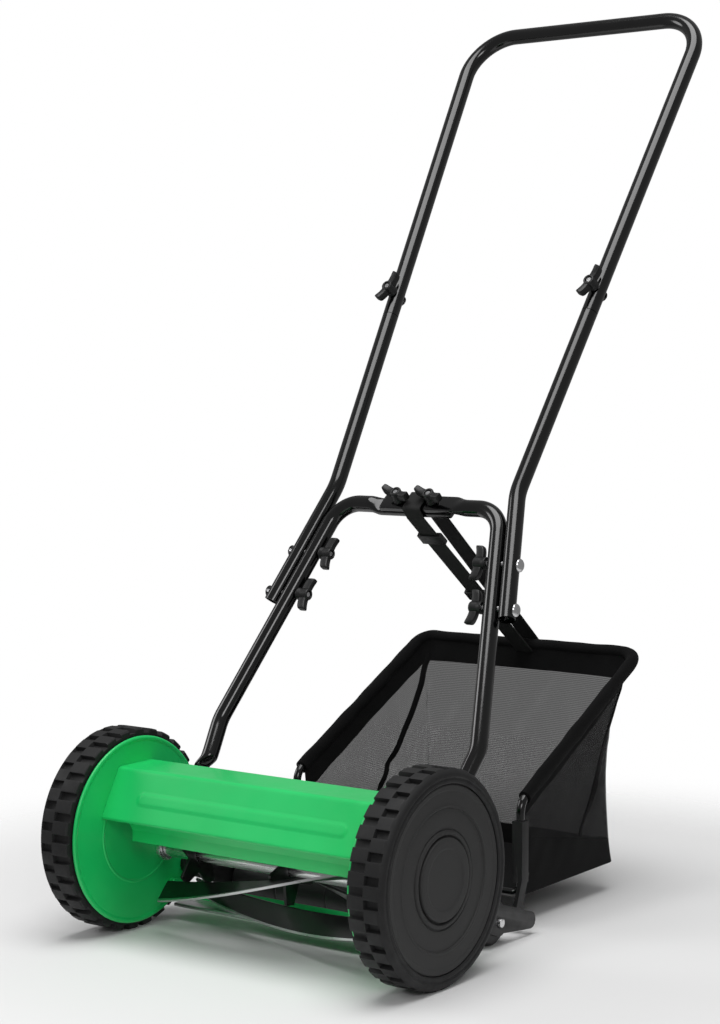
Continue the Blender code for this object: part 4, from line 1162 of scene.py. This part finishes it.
def squared(value: float) -> float:
    """Pushes -1..1 out towards its ends, for the flat faces of a pressed tube."""
    return math.copysign(abs(max(-1.0, min(1.0, value))) ** 0.25, value)


def rounded(value: float) -> float:
    """Widens -1..1 a little, for the rounded edges of a pressed tube."""
    return math.copysign(abs(max(-1.0, min(1.0, value))) ** 0.9, value)


class Place(Enum):
    """Where a bolt and its knob stand on the handle."""

    CROSSBAR = "crossbar"
    UPPER = "upper"
    TOP = "top"
    BOTTOM = "bottom"


@dataclass
class Fastener(Assembly):
    """A domed bolt and the wing knob on its end."""

    side: Side
    where: Place
    handle: Handle
    bolt: float = 0.003
    head: float = 0.0062
    head_height: float = 0.0032
    knob: float = 0.006
    height: float = 0.013
    span: float = 0.033
    wing: float = 0.007
    lift: float = 0.0008
    slack: float = 0.0006
    clear: float = 0.0003
    crossbar_x: float = 0.019
    upper_drop: float = 0.024
    heights: tuple[float, float] = (0.2985, 0.337)     # of the bottom and top bolts
    turns: tuple[float, float, float, float] = (-0.3, 1.2, 1.0, 2.0)    # crossbar, upper, left, right

    def seat(self) -> tuple[Vector, Vector, float, float, float]:
        """The joint's middle, the way from head to knob, the material on each side, the knob's turn."""
        handle, sign = self.handle, self.side.sign
        cross_turn, upper_turn, *side_turns = self.turns
        if self.where is Place.CROSSBAR:
            at = Vector((sign * self.crossbar_x, handle.leg_point(handle.crossbar_z).y, handle.crossbar_z))
            depth = handle.flat_thick + handle.flat_gap
            return at, handle.cross_front, depth, depth, cross_turn
        if self.where is Place.UPPER:
            joint, line = handle.upper_axis()
            at, front = joint + line * self.upper_drop, line.cross(Vector((-1, 0, 0))).normalized()
            middle, ahead = (Vector((sign * v.x, v.y, v.z)) for v in (at, front))
            return middle, ahead, handle.tube, handle.tube, upper_turn
        at = handle.leg_point(self.heights[self.where is Place.TOP])
        slack = handle.tube / math.sqrt(1 - handle.line.x ** 2) + self.slack
        middle = Vector((sign * at.x, at.y, at.z))
        return middle, Vector((-sign, 0, 0)), slack, slack + handle.offset, side_turns[sign > 0]

    def bolt_mesh(self, length: float) -> bpy.types.Mesh:
        """The bolt along +Z with its domed head below the XY plane and a threaded, chamfered tip."""
        turns = (0.0, 0.3, 0.6, 0.9, 1.2, 1.45)
        dome = [(self.head * math.sin(a), -self.head_height * math.cos(a)) for a in turns]
        outline = [*dome, (self.head, -0.0003), (self.bolt, -0.0003)]
        threads = 5
        for n in range(threads):
            z = length - 0.0005 - (threads - n) * 0.0010
            outline += [(self.bolt, z), (self.bolt - 0.00035, z + 0.0005)]
        outline += [(self.bolt - 0.0001, length - 0.0007), (self.bolt - 0.0007, length), (0, length)]
        return lathe(outline, Matrix(), 32)

    def knob_mesh(self) -> bpy.types.Mesh:
        """The wing knob standing on the XY plane: a flared boss with two upswept wings."""
        r, h, bore = self.knob, self.height, self.bolt + self.clear
        boss = [
            (bore, 0), (r, 0), (r, 0.0015), (r * 0.9, h * 0.35), (r * 0.95, h - 0.001), (r * 0.85, h),
            (bore, h),
        ]
        parts = [lathe(fillet(boss, 0.0006), Matrix(), 40)]
        reach = self.span / 2
        for sign in (-1, 1):
            stations = []
            tips = {7: (0.98, 0.96), 8: (0.90, 0.80)}    # how the last two stations narrow
            for n in range(9):
                share = n / 8
                lower, thinner = tips.get(n, (1.0, 1.0))
                x = bore + 0.001 + (reach - bore - 0.001) * share
                middle = h * 0.62 + 0.0030 * share ** 2
                thick = self.wing / 2 * (0.95 + 0.10 * share) * thinner
                stations.append((sign * x, middle, h * 0.34 * lower, thick))
            verts, faces, ring = [], [], 20
            for x, middle, tall, thick in stations:
                for n in range(ring):
                    c, s = math.cos(TAU * n / ring), math.sin(TAU * n / ring)
                    y = math.copysign(abs(c) ** 0.45, c) * thick
                    z = middle + math.copysign(abs(s) ** 0.4, s) * tall
                    verts.append(Vector((x, y, z)))
            last = len(stations) - 1
            for i in range(last):
                faces += between(i * ring, (i + 1) * ring, ring)
            faces += [tuple(range(ring)), tuple(range(last * ring, (last + 1) * ring))]
            parts.append(softened(mesh_from(verts, faces), 0.0008, 3, 50.0))
        return merged(*parts)

    def build(self) -> list[bpy.types.Object]:
        """Builds the bolt and the knob."""
        at, direction, ahead, behind, turn = self.seat()
        name = f"{self.where.value}_{self.side.label}"
        origin = spot(*(at - direction * (behind + self.clear)))
        bolt = self.bolt_mesh(ahead + behind + self.lift + self.height - 0.0008)
        bolt.transform(facing(origin, direction))
        knob = self.knob_mesh()
        seat = facing(spot(*(at + direction * (ahead + self.lift))), direction)
        knob.transform(seat @ Matrix.Rotation(turn, 4, "Z"))
        return [
            place(f"bolt_{name}_fine", bolt, [ZINC], "handle", [f"bolt_{name}"]),
            place(f"wing_knob_{name}", knob, [BLACK_PLASTIC], f"knob_{name}", [f"knob_{name}"]),
        ]


# ---- Strap ---------------------------------------------------------------------------------------


def ribbon(
    rows: Sequence[tuple[Vector, Vector]], width: float, thickness: float, closed: bool, cells: int = 8
) -> bpy.types.Mesh:
    """A strip of webbing with a UV map in metres.

    Args:
        rows: the strip's centre points and its outward directions.
        width: its width across X.
        thickness: its thickness.
        closed: whether the ends meet.
        cells: the faces across it.

    Returns:
        The strip as a closed shell.
    """
    verts, faces, marks = [], [], []
    along = [0.0]
    for (a, _), (b, _) in zip(rows, rows[1:]):
        along.append(along[-1] + (b - a).length)
    count = len(rows)
    outline = [(width * (n / cells - 0.5), thickness / 2) for n in range(cells + 1)]
    outline += [(x, -y) for x, y in reversed(outline)]
    for centre, out in rows:
        verts += [centre + Vector((x, 0, 0)) + out * y for x, y in outline]
    ring = len(outline)
    last = count if closed else count - 1
    total = along[-1] + (rows[0][0] - rows[-1][0]).length
    for i in range(last):
        j = (i + 1) % count
        ends = (along[i], along[j] if j else total)
        faces += between(i * ring, j * ring, ring)
        marks += [mark_square(outline[n][0], outline[(n + 1) % ring][0], *ends) for n in range(ring)]
    if not closed:
        for row in (0, count - 1):
            faces.append(tuple(row * ring + n for n in range(ring)))
            marks.append(tuple((x, along[row]) for x, _ in outline))
    return mapped(verts, faces, marks)


Mark = tuple[tuple[float, float], ...]


def mark_square(u0: float, u1: float, v0: float, v1: float) -> Mark:
    """The map corners of one face, from its two ends and its two sides."""
    return (u0, v0), (u1, v0), (u1, v1), (u0, v1)


def mapped(verts: Sequence[Vector], faces: Sequence[Sequence[int]], marks: Sequence[Mark]) -> bpy.types.Mesh:
    """A mesh with a UV map named cloth, in metres, and outward normals."""
    mesh = raw("cloth", verts, faces)
    flat = [value for mark in marks for pair in mark for value in pair]
    mesh.uv_layers.new(name="cloth").data.foreach_set("uv", flat)
    return cleaned(mesh)


@dataclass
class Strap(Assembly):
    """The webbing loop from the crossbar to the catcher's rear rod, with its two plastic sliders."""

    handle: Handle
    rear_bar: tuple[float, float] = (0.424, 0.233)
    width: float = 0.020
    thickness: float = 0.0016
    slack: float = 0.0012
    corner: float = 0.003
    end_loop: float = 0.008

    def circles(self) -> list[tuple[Vector, float]]:
        """The centres and radii that the loop runs round, in the YZ plane."""
        bar = self.handle.leg_point(self.handle.crossbar_z).yz
        reach_y = self.handle.flat_thick + self.slack + self.thickness / 2 - self.corner
        reach_z = self.handle.flat_high / 2 + self.slack + self.thickness / 2 - self.corner
        back, up = -self.handle.cross_front.yz, self.handle.cross_up.yz
        corners = [bar + back * (y * reach_y) + up * (z * reach_z) for y, z in ((-1, 1), (-1, -1), (1, -1))]
        return [(Vector(self.rear_bar), self.end_loop)] + [(corner, self.corner) for corner in corners]

    def loop(self) -> tuple[list[tuple[Vector, Vector]], list[float]]:
        """The loop's rows, finely divided, and the outward angle of each straight run."""
        circles = self.circles()
        angles = []
        for i, (centre, radius) in enumerate(circles):
            far, far_radius = circles[(i + 1) % len(circles)]
            run = far - centre
            angles.append(math.atan2(run.y, run.x) - math.acos((radius - far_radius) / run.length))
        rows: list[tuple[Vector, Vector]] = []
        for i, (centre, radius) in enumerate(circles):
            sweep_angle = (angles[i] - angles[i - 1]) % TAU
            steps = max(4, math.ceil(sweep_angle / 0.2))
            for n in range(steps + 1):
                out = Vector(polar(1.0, angles[i - 1] + sweep_angle * n / steps))
                point = centre + out * radius
                if n == 0 and rows:
                    start = rows[-1]
                    parts = max(1, round(((point - start[0].yz).length) / 0.004))
                    run = [start[0].yz.lerp(point, k / parts) for k in range(1, parts)]
                    rows += [(Vector((0, *place_on)), Vector((0, *out))) for place_on in run]
                rows.append((Vector((0, *point)), Vector((0, *out))))
        first, final = rows[0], rows[-1]
        parts = max(1, round((first[0] - final[0]).length / 0.004))
        rows += [(final[0].lerp(first[0], k / parts), first[1]) for k in range(1, parts)]
        return rows, angles

    def build(self) -> list[bpy.types.Object]:
        """Builds the webbing and the sliders."""
        rows, angles = self.loop()
        placed = [(spot(*centre), out) for centre, out in rows]
        mesh = softened(ribbon(placed, self.width, self.thickness, True), 0.0004, 2, 50.0)
        piece = place("webbing_loop", mesh, [WEBBING], "strap", ["strap"])
        sliders = []
        for name in ("upper", "lower"):
            node = f"strap_slider_{name}"
            sliders.append(place(f"{node}_fine", refined(node, 0.0009, 3), [BLACK_PLASTIC], "strap", [node]))
        return [piece, *sliders]


# ---- Catcher -------------------------------------------------------------------------------------


@dataclass
class Catcher(Assembly):
    """The rear grass bag: a rod frame, an open-topped net bag with sewn hems, and its two posts."""

    rod: float = 0.004
    half: float = 0.131
    front: float = 0.207
    rear: float = 0.424
    low: float = 0.033
    front_top: float = 0.118
    rear_top: float = 0.233
    rod_corner: float = 0.018
    sleeve: float = 0.0062
    bag_front: float = 0.2141
    foot_half: float = 0.1245
    foot_rear: float = 0.3955
    foot: float = 0.0300
    foot_corner: float = 0.016
    wall: float = 0.0010
    bands: tuple[float, float] = (0.082, 0.050)
    hem: float = 0.021
    cell: float = 0.0042
    rear_bow: float = 0.011
    side_bow: float = 0.0025
    side_share: float = 0.315          # of the wall's length, from its front edge to a rear corner
    row_counts: tuple[int, int, int] = (8, 26, 4)    # in the band, the net and the hem
    tape_profile: tuple[tuple[float, float], ...] = (    # (share of the width, height)
        (-0.5, 0.0006), (-0.25, 0.0013), (0.25, 0.0013), (0.5, 0.0006), (0.5, -0.0009), (-0.5, -0.0009),
    )
    seams: tuple[tuple[tuple[float, float], ...], ...] = (
        ((0.665, 0.93), (0.80, 0.36), (0.815, 0.24)), ((0.335, 0.93), (0.20, 0.36), (0.185, 0.24)),
    )
    folds: list[tuple[float, float, float, float, float]] = field(
        default_factory=lambda: [
            (0.36, 0.95, 0.22, 0.30, 0.0035), (0.30, 0.62, 0.16, 0.28, -0.0030),
            (0.30, 0.62, 0.345, 0.22, 0.0030), (0.56, 0.80, 0.68, 0.35, 0.0040),
            (0.44, 0.92, 0.52, 0.55, -0.0028), (0.64, 0.95, 0.78, 0.30, 0.0035),
            (0.84, 0.62, 0.70, 0.28, -0.0030),
        ]
    )

    def rods(self) -> bpy.types.Mesh:
        """The closed loop of bent rod."""
        half, front, rear = self.half, self.front, self.rear
        corners = [
            (half, front, self.low), (half, front, self.front_top), (half, rear, self.rear_top),
            (-half, rear, self.rear_top), (-half, front, self.front_top), (-half, front, self.low),
        ]
        path = bent([spot(*c) for c in corners], [0.008] + [self.rod_corner] * 4 + [0.008], 6.0, closed=True)
        return sweep(path, self.rod, 24, closed=True)

    def rim(self, inset: float = 0.0) -> list[Vector]:
        """The path of the hemmed rods, from the right front round the back to the left front."""
        half = self.half - inset
        slope = (self.rear_top - self.front_top) / (self.rear - self.front)
        start = self.front_top + (self.bag_front - self.front) * slope
        corners = [
            Vector((half, self.bag_front, start)), Vector((half, self.rear - inset, self.rear_top)),
            Vector((-half, self.rear - inset, self.rear_top)), Vector((-half, self.bag_front, start)),
        ]
        radius = self.rod_corner - inset
        return bent(corners, [0, radius, radius, 0], 6.0)

    def outline(self) -> list[Vector]:
        """The bag's foot from the right front round the back to the left front."""
        half, rear, z = self.foot_half, self.foot_rear, self.foot
        corners = [
            Vector((half, self.bag_front, z - 0.002)), Vector((half, rear, z)), Vector((-half, rear, z)),
            Vector((-half, self.bag_front, z - 0.002)),
        ]
        return bent(corners, [0, self.foot_corner, self.foot_corner, 0], 6.0)

    def bow(self, s: float, t: float) -> float:
        """How far the wall stands in from a straight line at a share of the way round and up."""
        corner = max(math.exp(-(((s - c) / 0.075) ** 2)) for c in (self.side_share, 1 - self.side_share))
        pull = self.side_bow + (self.rear_bow - self.side_bow) * corner
        depth = pull * math.sin(math.pi * min(1.0, t * 1.04)) ** 0.8 if 0 < t < 0.96 else 0.0
        for s0, t0, s1, t1, height in self.folds:
            run = Vector((s1 - s0, (t1 - t0) * 0.3))
            here = Vector((s - s0, (t - t0) * 0.3))
            share = min(1.0, max(0.0, here.dot(run) / run.length_squared))
            away = (here - run * share).length
            depth += height * math.exp(-((away / 0.012) ** 2)) * math.sin(math.pi * (0.08 + 0.84 * share))
        ripple = 0.0006 * math.sin(61 * s + 5 * t) + 0.0004 * math.sin(113 * s - 17 * t + 1)
        return depth + ripple * math.sin(math.pi * t)

    def wall_point(self, s: float, t: float) -> Vector:
        """A point of the bag's wall at a share of the way round and up."""
        top, foot = at_share(self.top_path, s), at_share(self.foot_path, s)
        ahead = at_share(self.top_path, min(1.0, s + 0.01))
        behind = at_share(self.top_path, max(0.0, s - 0.01))
        run = ahead - behind
        inward = Vector((-run.y, run.x, 0)).normalized()
        if inward.dot(Vector((0, 0.3, 0)) - Vector((top.x, top.y, 0))) < 0:
            inward.negate()
        return foot.lerp(top, t) + inward * self.bow(s, t)

    def rows(self, s: float) -> list[float]:
        """The heights of the wall's rows, as shares, with rows on the band's and the hem's edges."""
        top, foot = at_share(self.top_path, s), at_share(self.foot_path, s)
        rise = top.z - foot.z
        back = min(1.0, max(0.0, (foot.y - self.bag_front) / (self.foot_rear - self.bag_front)))
        band = (self.bands[0] + (self.bands[1] - self.bands[0]) * back - foot.z) / rise
        hem = 1 - self.hem / rise
        counts = self.row_counts
        heights = [band * n / counts[0] for n in range(counts[0])]
        heights += [band + (hem - band) * n / counts[1] for n in range(counts[1])]
        return heights + [hem + (1 - hem) * n / counts[2] for n in range(counts[2] + 1)]

    def bag(self) -> tuple[bpy.types.Mesh, float]:
        """The bag's walls and floor as one shell, and its flat area."""
        around = 2 * round(self.length / self.cell / 2)
        side = round(around * self.side_share)
        grid = [[self.wall_point(i / around, t) for t in self.rows(i / around)] for i in range(around + 1)]
        height = len(grid[0])
        verts = [spot(*point) for column in grid for point in column]
        faces, marks, kinds = [], [], []
        for i in range(around):
            rise = 0.0
            for j in range(height - 1):
                step = (grid[i][j + 1] - grid[i][j]).length
                a, b = i * height + j, (i + 1) * height + j
                u0, u1 = self.length * i / around, self.length * (i + 1) / around
                faces.append((a, b, b + 1, a + 1))
                marks.append(mark_square(u0, u1, rise, rise + step))
                kinds.append((j >= self.row_counts[0]) + (j >= sum(self.row_counts[:2])))
                rise += step
        rim = [column[0] for column in grid]
        right, left = rim[: side + 1], rim[around - side:][::-1]
        back = rim[side: around - side + 1]
        across = len(back) - 1
        base = len(verts)
        for i in range(side + 1):
            v = i / side
            for j in range(across + 1):
                u = j / across
                front_point = right[0].lerp(left[0], u)
                flat = right[i].lerp(left[i], u) + front_point.lerp(back[j], v)
                flat -= right[0].lerp(left[0], u).lerp(right[-1].lerp(left[-1], u), v)
                sag = 0.0035 * math.sin(math.pi * u) * math.sin(math.pi * min(1.0, v * 0.9 + 0.1))
                verts.append(spot(flat.x, flat.y, flat.z - sag))
        for i in range(side):
            for j in range(across):
                a, b = base + i * (across + 1) + j, base + (i + 1) * (across + 1) + j
                faces.append((a, b, b + 1, a + 1))
                corners = [verts[n] for n in faces[-1]]
                marks.append(tuple((p.x, p.y) for p in corners))
                kinds.append(0)
        mesh = raw("bag", verts, faces)
        mesh.uv_layers.new(name="cloth").data.foreach_set(
            "uv", [x for mark in marks for pair in mark for x in pair]
        )
        mesh.polygons.foreach_set("material_index", kinds)
        area = sum(face.area for face in cleaned(mesh, 2e-5).polygons)
        for _ in range(3):
            mesh.materials.append(None)
        return applied(mesh, ("SOLIDIFY", {"thickness": self.wall, "offset": 0.0, "use_rim": True})), area

    def tape(self, spots: Sequence[tuple[float, float]], width: float) -> bpy.types.Mesh:
        """A sewn tape on the inside of the wall through (around, up) points.

        Args:
            spots: the tape's points as shares round and up the wall.
            width: its width.

        Returns:
            A closed strip with a UV map.
        """
        line: list[tuple[float, float]] = []
        for (s0, t0), (s1, t1) in zip(spots, spots[1:]):
            line += [(s0 + (s1 - s0) * n / 24, t0 + (t1 - t0) * n / 24) for n in range(24)]
        line.append(spots[-1])
        verts, faces, marks, along = [], [], [], 0.0
        last = None
        for n, (s, t) in enumerate(line):
            here = self.wall_point(s, t)
            after, before = line[min(n + 1, len(line) - 1)], line[max(n - 1, 0)]
            run = (self.wall_point(*after) - self.wall_point(*before)).normalized()
            normal = run.cross(
                self.wall_point(s, min(1.0, t + 0.02)) - self.wall_point(s, max(0.0, t - 0.02))
            )
            if normal.length < 1e-7:
                normal = run.cross(Vector((0, 0, 1)))
            normal.normalize()
            if normal.dot(Vector((0, 0.31, 0.12)) - here) < 0:
                normal.negate()
            side = normal.cross(run).normalized()
            along += (here - last).length if last else 0.0
            last = here
            for x, y in self.tape_profile:
                verts.append(spot(*(here + side * (x * width) + normal * y)))
            if n:
                faces += between((n - 1) * 6, n * 6, 6)
                marks += [
                    mark_square(k * width / 3, (k + 1) * width / 3, along - 0.002, along) for k in range(6)
                ]
        for start in (0, len(line) * 6 - 6):
            faces.append(tuple(range(start, start + 6)))
            marks.append(tuple((k * 0.001, 0.0) for k in range(6)))
        return mapped(verts, faces, marks)

    def sleeves(self) -> bpy.types.Mesh:
        """The hem folded over the rods: a slightly slack tube of cloth with a stitched ridge below it."""
        path = divided(self.rim(), 0.005)
        count, sides = len(path), 20
        verts, faces, marks = [], [], []
        along = 0.0
        for i, centre in enumerate(path):
            if i:
                along += (centre - path[i - 1]).length
            run = (path[min(i + 1, count - 1)] - path[max(i - 1, 0)]).normalized()
            side = Vector((run.y, -run.x, 0)).normalized()
            up = side.cross(run).normalized()
            if up.z < 0:
                up.negate()
            wobble = 0.00035 * math.sin(along * 140) + 0.00025 * math.sin(along * 57 + 2)
            for n in range(sides):
                angle = TAU * n / sides
                radius = self.sleeve + wobble * math.sin(angle * 2 + along * 30)
                radius += 0.0016 * max(0.0, -math.sin(angle)) ** 6
                verts.append(spot(*(centre + (side * math.cos(angle) + up * math.sin(angle)) * radius)))
            if i:
                faces += between((i - 1) * sides, i * sides, sides)
                step = along - (centre - path[i - 1]).length
                for n in range(sides):
                    v0, v1 = n * 0.002, (n + 1) * 0.002
                    marks.append(((step, v0), (step, v1), (along, v1), (along, v0)))
        for start in (0, (count - 1) * sides):
            faces.append(tuple(range(start, start + sides)))
            marks.append(tuple((0.0, n * 0.002) for n in range(sides)))
        return mapped(verts, faces, marks)

    def build(self) -> list[bpy.types.Object]:
        """Builds the rods, the bag with its hems and tapes, and the posts."""
        self.top_path = [p - Vector((0, 0, 0.0035)) for p in self.rim(0.0045)]
        self.foot_path = self.outline()
        self.length = path_length(self.top_path)
        pieces = [place("rod_frame", self.rods(), [TUBE_ENAMEL], "catcher", ["catcher_frame"])]
        mesh, area = self.bag()
        kinds = [face.material_index for face in mesh.polygons]
        bag = place("bag", mesh, [BAND_CLOTH, NET, HEM_CLOTH], "catcher", ["catcher_bag"])
        bag.data.polygons.foreach_set("material_index", kinds)
        hem = place("bag_hem", self.sleeves(), [HEM_CLOTH], "catcher")
        tapes = []
        for n, seam in enumerate(self.seams):
            tapes.append(place(f"bag_seam_{n + 1}", self.tape(seam, 0.006), [HEM_CLOTH], "catcher"))
        for side in Side:
            node = f"catcher_post_{side.label}"
            pieces.append(place(f"{node}_fine", refined(node, 0.0030, 4), [BLACK_PLASTIC], "catcher", [node]))
        return [*pieces, bag, hem, *tapes]


def path_length(path: Sequence[Vector]) -> float:
    """The length of a path."""
    return sum((b - a).length for a, b in zip(path, path[1:]))


def at_share(path: Sequence[Vector], share: float) -> Vector:
    """The point a share of the way along a path, by length."""
    left = share * path_length(path)
    for a, b in zip(path, path[1:]):
        step = (b - a).length
        if left <= step:
            return a.lerp(b, left / step if step else 0.0)
        left -= step
    return Vector(path[-1])


# ---- Studio --------------------------------------------------------------------------------------


@dataclass
class Studio:
    """The pale floor, the soft lights and the camera."""

    target: tuple[float, float, float] = (-0.01045, -0.0626, 0.3899)
    azimuth: float = 36.47
    elevation: float = 3.45
    distance: float = 2.0431
    lens: float = 76.8
    shift: tuple[float, float] = (-0.0094, -0.0078)
    ambient: float = 0.26
    floor_clear: tuple[float, float] = (0.34, 0.78)

    def floor(self) -> bpy.types.Object:
        """A wide white floor that keeps a faint, soft shadow."""
        reach = self.floor_clear[1] + 0.1
        corners = [(x * reach, y * reach, 0) for x, y in ((-1, -1), (1, -1), (1, 1), (-1, 1))]
        mesh = raw("floor", corners, [(0, 1, 2, 3)])
        graph = Graph("floor_white")
        graph.shader.inputs["Roughness"].default_value = 0.9
        graph.shader.inputs["Specular IOR Level"].default_value = 0.1
        graph.link(
            graph.tint(graph.noise(0.6), (0.80, 0.80, 0.80), (0.82, 0.82, 0.82)),
            graph.shader.inputs["Base Color"],
        )
        where = graph.add("ShaderNodeTexCoord")
        away = graph.add("ShaderNodeVectorMath", operation="LENGTH")
        graph.link(where.outputs["Object"], away.inputs[0])
        fade = graph.add(
            "ShaderNodeMapRange", interpolation_type="SMOOTHERSTEP", From_Min=self.floor_clear[0],
            From_Max=self.floor_clear[1],
        )
        fade.inputs["To Min"].default_value = 1.0
        fade.inputs["To Max"].default_value = 0.0
        graph.link(away.outputs["Value"], fade.inputs["Value"])
        graph.link(fade.outputs["Result"], graph.shader.inputs["Alpha"])
        mesh.materials.append(graph.material)
        floor = shown("floor", mesh)
        return floor

    def lamp(self, name: str, at: tuple[float, float, float], size: float, power: float) -> None:
        """An area light aimed at the mower."""
        light = bpy.data.lights.new(name, "AREA")
        light.shape = "DISK"
        light.size = size
        light.energy = power
        lamp = shown(name, light)
        lamp.location = at
        lamp.rotation_euler = (Vector((0, 0, 0.3)) - Vector(at)).to_track_quat("-Z", "Y").to_euler()

    def build(self) -> None:
        """Sets the world, the lights, the floor and the camera."""
        world = bpy.data.worlds.new("studio")
        world.use_nodes = True
        tree = world.node_tree
        backdrop = tree.nodes["Background"]
        backdrop.inputs["Color"].default_value = (1, 1, 1, 1)
        seen = tree.nodes.new("ShaderNodeLightPath")
        strength = tree.nodes.new("ShaderNodeMapRange")
        strength.inputs["To Min"].default_value = self.ambient
        strength.inputs["To Max"].default_value = 1.0
        tree.links.new(seen.outputs["Is Camera Ray"], strength.inputs["Value"])
        tree.links.new(strength.outputs["Result"], backdrop.inputs["Strength"])
        bpy.context.scene.world = world
        bpy.context.scene.view_settings.view_transform = "Standard"
        self.floor()
        self.lamp("top", (0.2, -0.5, 2.8), 2.4, 62)
        self.lamp("front", (1.9, -2.2, 1.5), 1.0, 14)
        self.lamp("left", (-2.4, -1.0, 1.4), 1.2, 12)
        camera = bpy.data.cameras.new("camera")
        camera.lens = self.lens
        camera.sensor_width = 36
        camera.shift_x, camera.shift_y = self.shift
        eye = shown("camera", camera)
        azimuth, elevation = math.radians(self.azimuth), math.radians(self.elevation)
        level = math.cos(elevation)
        back = Vector((math.sin(azimuth) * level, -math.cos(azimuth) * level, math.sin(elevation)))
        eye.location = Vector(self.target) + back * self.distance
        eye.rotation_euler = back.to_track_quat("Z", "Y").to_euler()
        bpy.context.scene.camera = eye


def main() -> None:
    """Builds the mower and its studio."""
    logging.basicConfig(level=logging.INFO, format="%(name)s: %(message)s")
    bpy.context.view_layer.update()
    Studio().build()
    handle = Handle()
    assemblies: list[Assembly] = [Wheel(side) for side in Side]
    assemblies += [Chassis(), Reel(), handle]
    assemblies += [Fastener(side, where, handle) for side in Side for where in Place]
    assemblies += [Strap(handle), Catcher()]
    for assembly in assemblies:
        pieces = assembly.build()
        LOG.info("%s: %d pieces", type(assembly).__name__, len(pieces))


if __name__ == "__main__":
    main()
